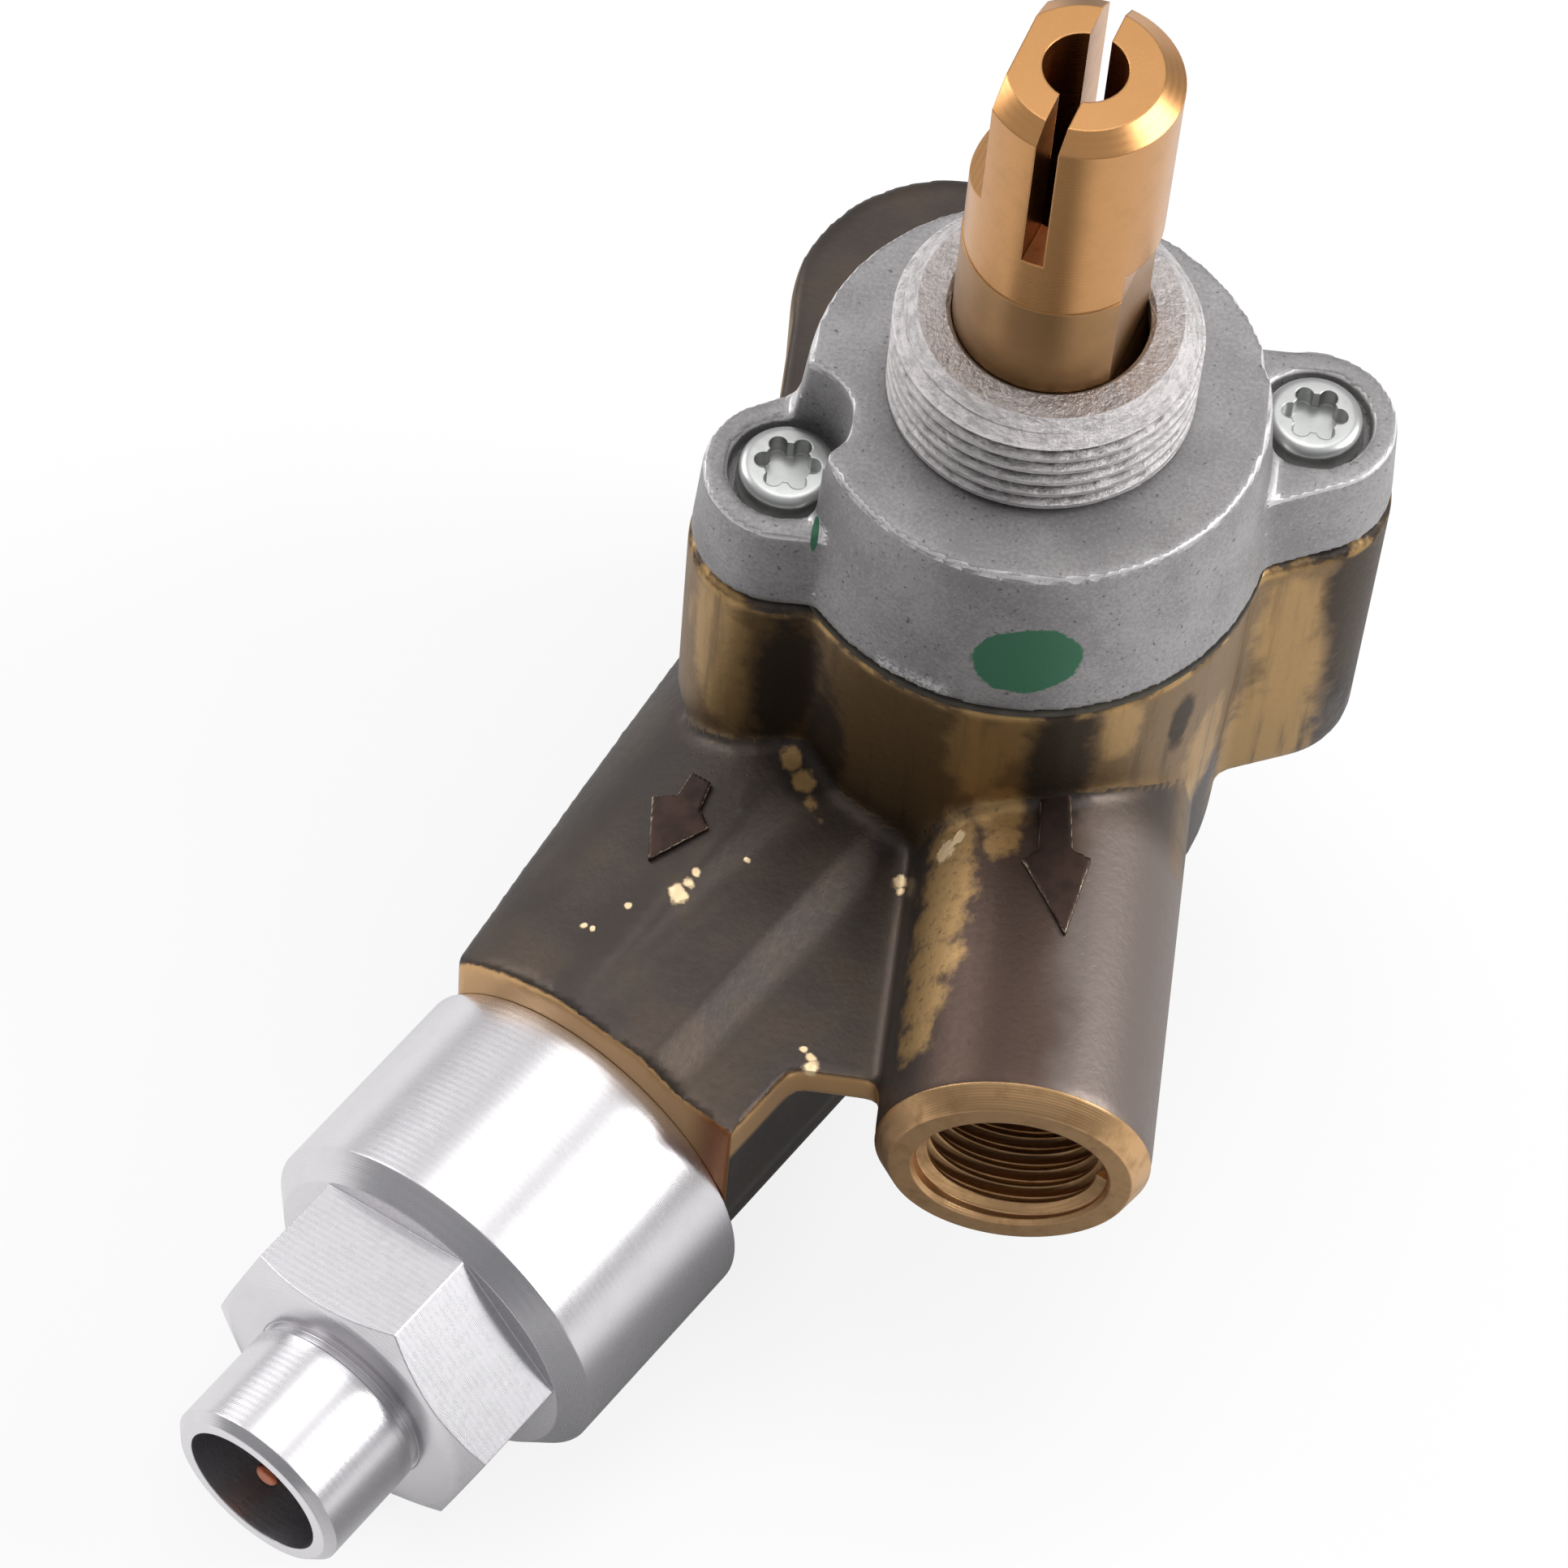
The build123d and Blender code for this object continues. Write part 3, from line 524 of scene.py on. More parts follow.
@dataclass(frozen=True)
class CastAlloy:
    """Die-cast grey alloy with a fine grain, a rim lightened as a painted highlight and a dab of green paint.
    """

    name: str = "cast_alloy"
    mid: Colour = srgb(168, 166, 166)
    dark: Colour = srgb(142, 140, 141)
    # Light tone of the rim's painted highlight and of the bruised edge's bare metal.
    light: Colour = srgb(226, 224, 224)
    soot: Colour = srgb(84, 84, 86)
    paint: Colour = srgb(40, 100, 70)
    dab: Spot = (1.15, -6.5, 3.3, 2.75)
    dab_lean: float = 0.42
    trace: Spot = (-10.5, -7.5, -5.0, 0.55)
    burr: tuple[float, float, float] = (-6.3, -2.2, -10.1)
    front_y: Span = (9, 10)

    def material(self) -> bpy.types.Material:
        """Build the finish.

        Returns:
            The material.
        """
        g = Graph.of_finish(self.name)
        cloud = g.noise(0.2, 3)
        grain = g.noise(4.5, 8, rough=0.7)
        fine = g.noise(11.0, 4, rough=0.7)
        colour = g.mix((cloud * 0.4 + grain * 0.6).ease(0.4, 0.62), self.dark, self.mid)
        specks = (1 - g.noise(3.0, 3).ease(0.3, 0.36)) * 0.7
        colour = g.mix(specks, colour, self.soot)
        # Painted highlight along the rounded rim and edges.
        rim = g.tilted(UP, 0.3, 0.88) * grain.ease(0.3, 0.46)
        colour = g.mix(rim * 0.85, colour, self.light)
        burr = self._burr(g)
        colour = g.mix(burr * grain.ease(0.4, 0.6), colour, self.light)
        paint = self._dab(g, grain).most(self._trace(g))
        colour = g.mix(paint, colour, self.paint)
        rough = 0.47 + grain * 0.12 + fine * 0.06 - rim * 0.14
        height = grain * 0.5 + fine * 0.3 - specks * 0.3 + burr * grain * 2 + paint * 0.3
        bump = g.bump(height, 0.035, 0.8)
        return g.finish(Base_Color=colour, Metallic=0.75 - paint * 0.75, Roughness=rough, Normal=bump)

    def _dab(self, g: Graph, grain: Wire) -> Wire:
        """Mask of the brushed paint mark on the front wall.

        Args:
            g: The material's graph.
            grain: The cast grain, which roughens the mark's edge.

        Returns:
            The mask.
        """
        x, z, wide, tall = self.dab
        across = g.along((1, 0, self.dab_lean), (x, 0, z)) / wide
        upward = g.along((-self.dab_lean, 0, 1), (x, 0, z)) / tall
        ragged = (g.noise(0.55, 4) - 0.5) * 0.55 + (grain - 0.5) * 0.25
        reach = across * across + upward * upward + ragged
        return (1 - reach.ease(0.86, 0.98)) * g.along(FRONT).ease(*self.front_y)

    def _trace(self, g: Graph) -> Wire:
        """Mask of a thin trace of the same paint beside the left ear.

        Args:
            g: The material's graph.

        Returns:
            The mask.
        """
        x, y, z, reach = self.trace
        across = g.along(ACROSS, (x, y, z)) / (reach * 0.4)
        upward = g.along(UP, (x, y, z)) / (reach * 2.2)
        depth = g.along(FRONT, (x, y, z)) / (reach * 2)
        return 1 - (across * across + upward * upward + depth * depth).ease(0.6, 1.0)

    def _burr(self, g: Graph) -> Wire:
        """Mask of the bruised lower edge at the front left.

        Args:
            g: The material's graph.

        Returns:
            The mask.
        """
        left, right, top = self.burr
        x = g.along(ACROSS)
        low = 1 - g.along(UP).ease(top, top + 0.9)
        sides = x.ease(left - 0.4, left) * (1 - x.ease(right - 1, right))
        return sides * low * g.along(FRONT).ease(*self.front_y)


@dataclass(frozen=True)
class Machined:
    """Bare turned metal with fine tool marks round an axis."""

    name: str
    tone: Colour
    dull: Colour
    axis: Colour = (0.0, 0.0, 1.0)
    origin: Colour = (0.0, 0.0, 0.0)
    rough: float = 0.26
    pitch: float = 9.0
    depth: float = 0.012
    soften: float = 0.12
    worn: float = 0.4
    finer: float = 3.7
    # Height below which the dull tone is painted on as shade, and the width of its fade.
    shade_below: Optional[float] = None
    shade_fade: float = 0.2

    def material(self) -> bpy.types.Material:
        """Build the finish.

        Returns:
            The material.
        """
        g = Graph.of_finish(self.name)
        height = g.along(self.axis, self.origin)
        wander = g.noise(0.25, 3)
        lines = (height * self.pitch + wander * 1.5).sine() * 0.5 + 0.5
        fine = (height * self.pitch * self.finer + wander * 3).sine() * 0.5 + 0.5
        smear = g.noise(0.7, 6, rough=0.65)
        mask = smear.ease(0.45, 0.75) * self.worn
        # Painted shade: below the given height the metal darkens to the dull tone.
        if self.shade_below is not None:
            low = 1 - height.ease(self.shade_below - self.shade_fade, self.shade_below + self.shade_fade)
            mask = mask.most(low * (0.55 + smear * 0.4))
        colour = g.mix(mask, self.tone, self.dull)
        rough = self.rough + fine * 0.04 + smear * 0.06 + mask * 0.1
        bump = g.bump(lines * 0.6 + fine * 0.4, self.depth, 0.6, g.rounded(self.soften))
        return g.finish(Base_Color=colour, Metallic=1.0, Roughness=rough, Normal=bump)


@dataclass(frozen=True)
class TornThread:
    """Rough cut thread in soft alloy: bright crests, roots darkened as painted shade and torn flanks."""

    name: str = "collar_alloy"
    crest: Colour = srgb(222, 218, 217)
    # Dark tone painted into the thread's roots as shade; it also darkens grain on the top face.
    root: Colour = srgb(66, 62, 62)
    top: Colour = srgb(194, 188, 186)
    radii: Span = (7.4, 7.95)
    chamfer_z: Span = (5.0, 5.5)
    top_z: Span = (6.1, 6.4)

    def material(self) -> bpy.types.Material:
        """Build the finish.

        Returns:
            The material.
        """
        g = Graph.of_finish(self.name)
        torn = g.noise(2.2, 6, (0.55, 0.55, 1.8), 0.7)
        grain = g.noise(5.0, 5)
        # Painted shade: the thread darkens toward its roots, by radius.
        reach = (g.radius() + (torn - 0.5) * 0.6).ease(*self.radii)
        reach = reach.most(g.along(UP).ease(*self.chamfer_z) * (0.55 + torn * 0.6))
        colour = g.mix(reach * (0.72 + torn.ease(0.35, 0.6) * 0.28), self.root, self.crest)
        flat = g.facing(UP).ease(0.9, 0.97) * g.along(UP).ease(*self.top_z)
        colour = g.mix(flat, colour, g.mix(grain.ease(0.35, 0.7) * 0.3, self.top, self.root))
        bump = g.bump(torn * 0.75 + grain * 0.25, 0.28, 0.9, g.rounded(0.06))
        return g.finish(Base_Color=colour, Metallic=0.95, Roughness=0.3 + grain * 0.16, Normal=bump)


@dataclass(frozen=True)
class Plain:
    """Inner or small pieces: one colour with slight clouding and grain."""

    name: str
    tone: Colour
    shade: Colour
    metal: float = 1.0
    rough: float = 0.4
    # Optional lighter tone for rounded edges: partly wear, partly painted highlight.
    worn_edge_and_sheen: Optional[Colour] = None

    def material(self) -> bpy.types.Material:
        """Build the finish.

        Returns:
            The material.
        """
        g = Graph.of_finish(self.name)
        cloud = g.noise(0.8, 4)
        grain = g.noise(6.0, 4)
        colour = g.mix(cloud.ease(0.35, 0.7), self.tone, self.shade)
        # Rounded edges lighten: partly wear, partly painted highlight.
        if self.worn_edge_and_sheen is not None:
            colour = g.mix(g.tilted(UP, 0.3, 0.78) * cloud.ease(0.36, 0.56), colour, self.worn_edge_and_sheen)
        rough = self.rough + cloud * 0.12
        bump = g.bump(grain, 0.012, 0.6, g.rounded(0.08))
        return g.finish(Base_Color=colour, Metallic=self.metal, Roughness=rough, Normal=bump)


class Bench:
    """Modelling steps that the pieces share. Lengths are in metres here."""

    @staticmethod
    def start() -> None:
        """Leave edit mode and deselect everything."""
        if bpy.context.object is not None and bpy.context.object.mode != "OBJECT":
            bpy.ops.object.mode_set(mode="OBJECT")
        bpy.ops.object.select_all(action="DESELECT")

    @staticmethod
    def pick(piece: bpy.types.Object) -> None:
        """Select one piece alone and make it active.

        Args:
            piece: The piece.
        """
        Bench.start()
        piece.select_set(True)
        bpy.context.view_layer.objects.active = piece

    @staticmethod
    def edit(piece: bpy.types.Object) -> None:
        """Open one piece alone for editing."""
        Bench.pick(piece)
        bpy.ops.object.mode_set(mode="EDIT")

    @staticmethod
    def merge() -> None:
        """Select the whole open piece and merge its doubled points."""
        bpy.ops.mesh.select_all(action="SELECT")
        bpy.ops.mesh.remove_doubles(threshold=MERGE)

    @staticmethod
    def close() -> None:
        """Turn the open piece's faces outward and leave edit mode."""
        bpy.ops.mesh.select_all(action="SELECT")
        bpy.ops.mesh.normals_make_consistent(inside=False)
        bpy.ops.object.mode_set(mode="OBJECT")

    @staticmethod
    def chain(name: str, points: Iterable[Point]) -> bpy.types.Object:
        """Draw a line of edges in the XZ plane, one extruded point at a time.

        Args:
            name: Name of the new piece.
            points: Radius and height of each point in millimetres.

        Returns:
            The piece, left in edit mode with its last point selected.
        """
        Bench.start()
        spots = [Vector((r, 0, h)) * MM for r, h in points]
        bpy.ops.mesh.primitive_plane_add(size=MM)
        piece = bpy.context.object
        piece.name = name
        bpy.ops.object.mode_set(mode="EDIT")
        bpy.ops.mesh.select_all(action="SELECT")
        bpy.ops.mesh.merge(type="CENTER")
        bpy.ops.transform.translate(value=spots[0])
        for last, spot in zip(spots, spots[1:]):
            bpy.ops.mesh.extrude_region_move(TRANSFORM_OT_translate={"value": spot - last})
        return piece

    @staticmethod
    def lathe(name: str, points: list[Point], steps: int = 96) -> bpy.types.Object:
        """Turn a closed outline of radius and height points about Z.

        Args:
            name: Name of the new piece.
            points: Radius and height of each point in millimetres.
            steps: Facets round the turn.

        Returns:
            The closed piece in object mode.
        """
        piece = Bench.chain(name, [*points, points[0]])
        bpy.ops.mesh.select_all(action="SELECT")
        bpy.ops.mesh.spin(steps=steps, angle=2 * math.pi, center=(0, 0, 0), axis=UP)
        Bench.merge()
        Bench.close()
        return piece

    @staticmethod
    def thread(name: str, major: float, minor: float, pitch: float, length: float) -> bpy.types.Object:
        """Make a solid screw along Z with flat ends.

        Args:
            name: Name of the new piece.
            major: Crest radius in millimetres.
            minor: Root radius in millimetres.
            pitch: Rise of one turn in millimetres.
            length: Length in millimetres, from z = 0.

        Returns:
            The closed screw in object mode.
        """
        outline = [(minor, 0.0), (minor, 0.14), (major, 0.44), (major, 0.7), (minor, 1.0)]
        piece = Bench.chain(name, [(r, (h - 1.5) * pitch) for r, h in outline])
        bpy.ops.object.mode_set(mode="OBJECT")
        Bench.wind(piece, pitch, math.ceil(length / pitch) + 3)
        Bench.trim(piece, 0.0, length)
        return piece

    @staticmethod
    def ridge(name: str, root: float, crest: float, pitch: float, low: float,
              high: float) -> bpy.types.Object:
        """Make the inward ridge of an inside thread along Z.

        Args:
            name: Name of the new piece.
            root: Outer radius of the ridge in millimetres.
            crest: Inner radius of the ridge in millimetres.
            pitch: Rise of one turn in millimetres.
            low: Least height in millimetres.
            high: Height of its upper end in millimetres.

        Returns:
            The closed ridge in object mode.
        """
        half = 0.44
        outline = [(root, -half), (crest, -0.09), (crest, 0.09), (root, half), (root, -half)]
        turns = math.floor((high - low) / pitch - 2 * half)
        piece = Bench.chain(name, [(r, high + (h - turns - half) * pitch) for r, h in outline])
        bpy.ops.object.mode_set(mode="OBJECT")
        Bench.wind(piece, pitch, turns)
        Bench.edit(piece)
        Bench.merge()
        bpy.ops.mesh.fill_holes(sides=8)
        Bench.close()
        return piece

    @staticmethod
    def wind(piece: bpy.types.Object, pitch: float, turns: int) -> None:
        """Wind an outline about Z into a helix.

        Args:
            piece: The outline, which becomes the helix.
            pitch: Rise of one turn in millimetres.
            turns: Number of turns.
        """
        wind = piece.modifiers.new("wind", "SCREW")
        wind.axis = "Z"
        wind.screw_offset = pitch * MM
        wind.iterations = turns
        wind.steps = wind.render_steps = 72
        wind.use_merge_vertices = True
        wind.merge_threshold = MERGE
        Bench.apply(piece)

    @staticmethod
    def trim(piece: bpy.types.Object, low: float, high: float) -> None:
        """Merge a wound piece and cut it flat at two heights.

        Args:
            piece: The wound piece.
            low: Lower height in millimetres.
            high: Upper height in millimetres.
        """
        Bench.edit(piece)
        Bench.merge()
        for height, below in ((low, True), (high, False)):
            bpy.ops.mesh.select_all(action="SELECT")
            bpy.ops.mesh.bisect(plane_co=(0, 0, height * MM), plane_no=UP, use_fill=True,
                                clear_inner=below, clear_outer=not below)
        Bench.close()

    @staticmethod
    def join(piece: bpy.types.Object, other: bpy.types.Object) -> None:
        """Take another piece's mesh into a piece.

        Args:
            piece: The piece that stays.
            other: The piece that goes into it.
        """
        Bench.pick(piece)
        other.select_set(True)
        bpy.ops.object.join()

    @staticmethod
    def plate(name: str, outline: list[Point], thick: float) -> bpy.types.Object:
        """Make a flat plate from a closed outline in XY, risen along Z from z = 0.

        Args:
            name: Name of the new piece.
            outline: Corners in millimetres, in order.
            thick: Thickness in millimetres.

        Returns:
            The closed plate in object mode.
        """
        piece = Bench.chain(name, [(x, y) for x, y in outline])
        bpy.ops.mesh.select_all(action="SELECT")
        bpy.ops.mesh.edge_face_add()
        bpy.ops.mesh.select_all(action="SELECT")
        bpy.ops.mesh.extrude_region_move(TRANSFORM_OT_translate={"value": (0, thick * MM, 0)})
        Bench.close()
        Bench.place(piece, Matrix(((1, 0, 0, 0), (0, 0, 1, 0), (0, 1, 0, 0), (0, 0, 0, 1))))
        return piece

    @staticmethod
    def apply(piece: bpy.types.Object) -> None:
        """Apply every modifier of a piece, in order.

        Args:
            piece: The piece to work on.
        """
        Bench.pick(piece)
        for name in [m.name for m in piece.modifiers]:
            bpy.ops.object.modifier_apply(modifier=name)

    @staticmethod
    def place(piece: bpy.types.Object, frame: Matrix) -> None:
        """Move a piece's mesh into a frame and keep its object at the origin.

        Args:
            piece: The piece to move.
            frame: The frame, in metres.
        """
        piece.data.transform(frame)
        if frame.determinant() < 0:
            piece.data.flip_normals()
        piece.data.update()

    @staticmethod
    def work(piece: bpy.types.Object, tool: bpy.types.Object, cut: Cut) -> None:
        """Cut a piece with a tool, which is then thrown away.

        Args:
            piece: The closed piece to work on.
            tool: The closed mesh that cuts it.
            cut: What is taken away.
        """
        step = piece.modifiers.new(cut.name, "BOOLEAN")
        step.operation = cut.value
        step.solver = "EXACT"
        step.object = tool
        Bench.apply(piece)
        bpy.data.objects.remove(tool)

    @staticmethod
    def copy(node: str, name: str) -> bpy.types.Object:
        """Copy a node's mesh into a new merged piece.

        Args:
            node: The node's name.
            name: The new piece's name.

        Returns:
            The new piece.
        """
        source = bpy.data.objects[node]
        piece = bpy.data.objects.new(name, source.data.copy())
        bpy.context.scene.collection.objects.link(piece)
        piece.data.materials.clear()
        Bench.edit(piece)
        Bench.merge()
        bpy.ops.mesh.customdata_custom_splitnormals_clear()
        bpy.ops.object.mode_set(mode="OBJECT")
        return piece

    @staticmethod
    def soften(piece: bpy.types.Object, voxel: float, passes: int) -> None:
        """Remesh a piece finely and round its edges and corners.

        Args:
            piece: The piece to work on.
            voxel: Size of the new faces in millimetres.
            passes: Smoothing passes.
        """
        fine = piece.modifiers.new("fine", "REMESH")
        fine.mode = "VOXEL"
        fine.voxel_size = voxel * MM
        ease = piece.modifiers.new("ease", "SMOOTH")
        ease.factor = 0.5
        ease.iterations = passes
        Bench.apply(piece)

    @staticmethod
    def smooth(piece: bpy.types.Object, angle: float = 35) -> None:
        """Shade a piece smooth, keeping edges sharper than an angle."""
        Bench.pick(piece)
        bpy.ops.object.shade_smooth_by_angle(angle=math.radians(angle))

    @staticmethod
    def dress(piece: bpy.types.Object, material: bpy.types.Material, body: Body, slot: str,
              instead_of: Optional[str] = None) -> None:
        """Give a piece its finish and its body.

        Args:
            piece: The finished piece.
            material: Its material.
            body: The body that it moves with.
            slot: Name of a material slot; not used.
            instead_of: The node that it stands for.
        """
        piece.data.materials.clear()
        piece.data.materials.append(material)
        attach(piece, body.value)
        if instead_of is not None:
            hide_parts(instead_of)
        LOG.info("%s: %d faces", piece.name, len(piece.data.polygons))


@dataclass
class Forging:
    """Forged body with its arrows and its machined outlet mouth. Sizes are in millimetres."""

    voxel: float = 0.4
    passes: int = 4
    outlet_x: float = 3.84
    outlet_z: float = -26.4
    outlet_r: float = 7.28
    outlet_end: float = 31.2
    chamfer_l: float = 1.25
    chamfer_r: float = 0.84
    thread_major: float = 5.05
    thread_minor: float = 4.46
    thread_pitch: float = 1.0
    thread_inset: float = 0.12
    thread_start: float = 0.1
    thread_stop: float = 0.35
    mouth_l: float = 10.0
    sleeve_r: float = 5.6
    lip: float = 0.18
    lip_depth: float = 0.3
    skin_gap: float = 0.03
    edge_l: float = 0.05
    edge_r: float = 0.08
    block_over: float = 0.6
    block_end: float = 34.0
    arrow_rise: float = 0.32
    arrow_voxel: float = 0.1
    arrow_passes: int = 3
    crown_r: float = 12.9
    crown_taper: float = 0.074
    crown_end: float = 32.4
    outlet_arrow: list[Point] = field(default_factory=lambda: [
        (-1.0, 11.9), (0.6, 11.9), (1.05, 15.5), (2.1, 15.8), (1.2, 20.8), (-1.55, 16.5), (-0.75, 15.8)])
    arm_arrow: list[Point] = field(default_factory=lambda: [
        (-5.1, 17.0), (-3.7, 17.1), (-3.15, 18.8), (-2.0, 19.5), (-3.45, 22.9), (-6.0, 19.3), (-4.8, 18.6)])

    def build(self) -> None:
        """Model and dress the forging."""
        material = ForgedBrass().material()
        bare = Machined("bare_brass", srgb(206, 166, 120), srgb(160, 124, 84), FRONT,
                        pitch=14, rough=0.29, worn=0.7).material()
        body = Bench.copy("valve_body", "forged_body")
        Bench.soften(body, self.voxel, self.passes)
        Bench.work(body, self._end_block(), Cut.AWAY)
        Bench.smooth(body, 50)
        Bench.dress(body, material, Body.HOUSING, "forged_brass", "valve_body")
        mouth = self._mouth()
        Bench.dress(mouth, bare, Body.HOUSING, "forged_brass")
        # The arrows' light edge tone is partly wear, partly painted highlight.
        dark = Plain("arrow_skin", srgb(68, 52, 46), srgb(52, 42, 38), metal=0.85, rough=0.42,
                     worn_edge_and_sheen=srgb(184, 168, 146)).material()
        for arrow in (self._outlet_arrow(), self._arm_arrow()):
            Bench.dress(arrow, dark, Body.HOUSING, "forged_brass")

    def _outlet_frame(self) -> Matrix:
        """Frame on the outlet's axis, its Z along the outlet."""
        turn = Matrix.Rotation(math.pi / 2, 4, "X")
        return Matrix.Translation(Vector((self.outlet_x, 0, self.outlet_z)) * MM) @ turn

    def _end_block(self) -> bpy.types.Object:
        """Block that trims the forged skin where the machined end starts, and its bore.

        Returns:
            The closed block.
        """
        back = self.outlet_end - self.chamfer_l
        reach = self.outlet_r + self.block_over
        deep = self.outlet_end - self.mouth_l
        block = Bench.lathe("end_block", [
            (0, deep), (self.sleeve_r, deep), (self.sleeve_r, back), (reach, back),
            (reach, self.block_end), (0, self.block_end)])
        Bench.place(block, self._outlet_frame())
        return block

    def _mouth(self) -> bpy.types.Object:
        """Machined end of the outlet: chamfer, face and inside thread.

        Returns:
            The closed piece.
        """
        end, back = self.outlet_end, self.outlet_end - self.chamfer_l
        deep = end - self.mouth_l
        face = self.outlet_r - self.chamfer_r
        ring = Bench.lathe("outlet_mouth", [
            (self.thread_major, deep), (self.sleeve_r, deep), (self.sleeve_r, back),
            (self.outlet_r - self.skin_gap, back), (face, end - self.edge_l), (face - self.edge_r, end),
            (self.thread_major + self.lip, end), (self.thread_major, end - self.lip_depth)])
        thread = Bench.ridge("outlet_thread", self.thread_major + self.thread_inset, self.thread_minor,
                             self.thread_pitch, deep + self.thread_start, end - self.thread_stop)
        Bench.join(ring, thread)
        Bench.place(ring, self._outlet_frame())
        Bench.smooth(ring, 30)
        return ring

    def _outlet_arrow(self) -> bpy.types.Object:
        """Raised flow arrow that follows the outlet's round top.

        Returns:
            The closed piece.
        """
        arrow = Bench.plate("outlet_arrow", [(x, -y) for x, y in self.outlet_arrow], 3.0)
        top = self.outlet_z + self.outlet_r
        Bench.place(arrow, Matrix.Translation(Vector((self.outlet_x, 0, top - 2)) * MM))
        reach = self.outlet_r + self.arrow_rise
        skin = Bench.lathe("outlet_skin", [(0, 5), (reach, 5), (reach, 25), (0, 25)], 160)
        Bench.place(skin, self._outlet_frame())
        return self._raised(arrow, skin)

    def _arm_arrow(self) -> bpy.types.Object:
        """Raised flow arrow that follows the magnet arm's round crown.

        Returns:
            The closed piece.
        """
        arrow = Bench.plate("arm_arrow", self.arm_arrow, 5.0)
        turn = Matrix((LINES.arm_side, LINES.arm_dir, UP)).transposed().to_4x4()
        Bench.place(arrow, Matrix.Translation((LINES.arm_origin + Vector((0, 0, 11))) * MM) @ turn)
        end = self.crown_r + self.arrow_rise
        root = end + self.crown_taper * self.crown_end
        skin = Bench.lathe("crown_skin", [(0, 0), (root, 0), (end, self.crown_end), (0, self.crown_end)], 240)
        Bench.place(skin, LINES.arm_frame())
        return self._raised(arrow, skin)

    def _raised(self, arrow: bpy.types.Object, skin: bpy.types.Object) -> bpy.types.Object:
        """Trim an arrow to a raised skin and ease its edges.

        Args:
            arrow: The upright arrow.
            skin: The closed shape whose surface becomes the arrow's top.

        Returns:
            The trimmed arrow.
        """
        Bench.work(arrow, skin, Cut.SHARED)
        Bench.soften(arrow, self.arrow_voxel, self.arrow_passes)
        Bench.smooth(arrow, 60)
        return arrow


@dataclass
class Cover:
    """Cast cover with its threaded panel collar. Sizes are in millimetres."""

    voxel: float = 0.3
    passes: int = 6
    collar_r: float = 8.0
    collar_root: float = 7.35
    collar_h: float = 6.65
    chamfer: float = 1.2
    bore_r: float = 5.1
    mouth_r: float = 5.35
    mouth_l: float = 0.25
    pitch: float = 1.0
    foot: float = 2.0
    screw_foot: float = 2.2
    screw_over: float = 0.2
    block_r: float = 9.0
    block_h: float = 8.0

    def build(self) -> None:
        """Model and dress the cover."""
        cover = Bench.copy("bonnet_cover", "cast_cover")
        block = [(0, 0), (self.block_r, 0), (self.block_r, self.block_h), (0, self.block_h)]
        Bench.work(cover, Bench.lathe("collar_block", block), Cut.AWAY)
        Bench.soften(cover, self.voxel, self.passes)
        Bench.smooth(cover, 50)
        Bench.dress(cover, CastAlloy().material(), Body.HOUSING, "cast_cover", "bonnet_cover")
        collar = self._collar()
        Bench.dress(collar, TornThread().material(), Body.HOUSING, "cast_cover")

    def _collar(self) -> bpy.types.Object:
        """Threaded collar with a chamfered top and the stem's bore.

        Returns:
            The closed piece.
        """
        top = self.collar_h
        blank = Bench.lathe("panel_thread", [
            (self.bore_r, -self.foot), (self.collar_r + 0.25, -0.4), (self.collar_r + 0.05, 0.35),
            (self.collar_r, top - self.chamfer), (self.collar_r - self.chamfer, top), (self.mouth_r, top),
            (self.bore_r, top - self.mouth_l)])
        length = top + self.screw_foot + self.screw_over
        screw = Bench.thread("collar_screw", self.collar_r, self.collar_root, self.pitch, length)
        Bench.place(screw, Matrix.Translation((0, 0, -self.screw_foot * MM)))
        Bench.work(blank, screw, Cut.SHARED)
        Bench.smooth(blank, 30)
        return blank


@dataclass(frozen=True)
class Spring:
    """Compression spring's joint, axis, seat, length and travel. Lengths are in millimetres."""

    joint: str
    axis: Colour
    seat: Colour
    length: float
    travel: float

    def squash(self, piece: bpy.types.Object) -> None:
        """Give a spring's piece its own copy of its mesh.

        Args:
            piece: The spring's piece.
        """
        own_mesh(piece)


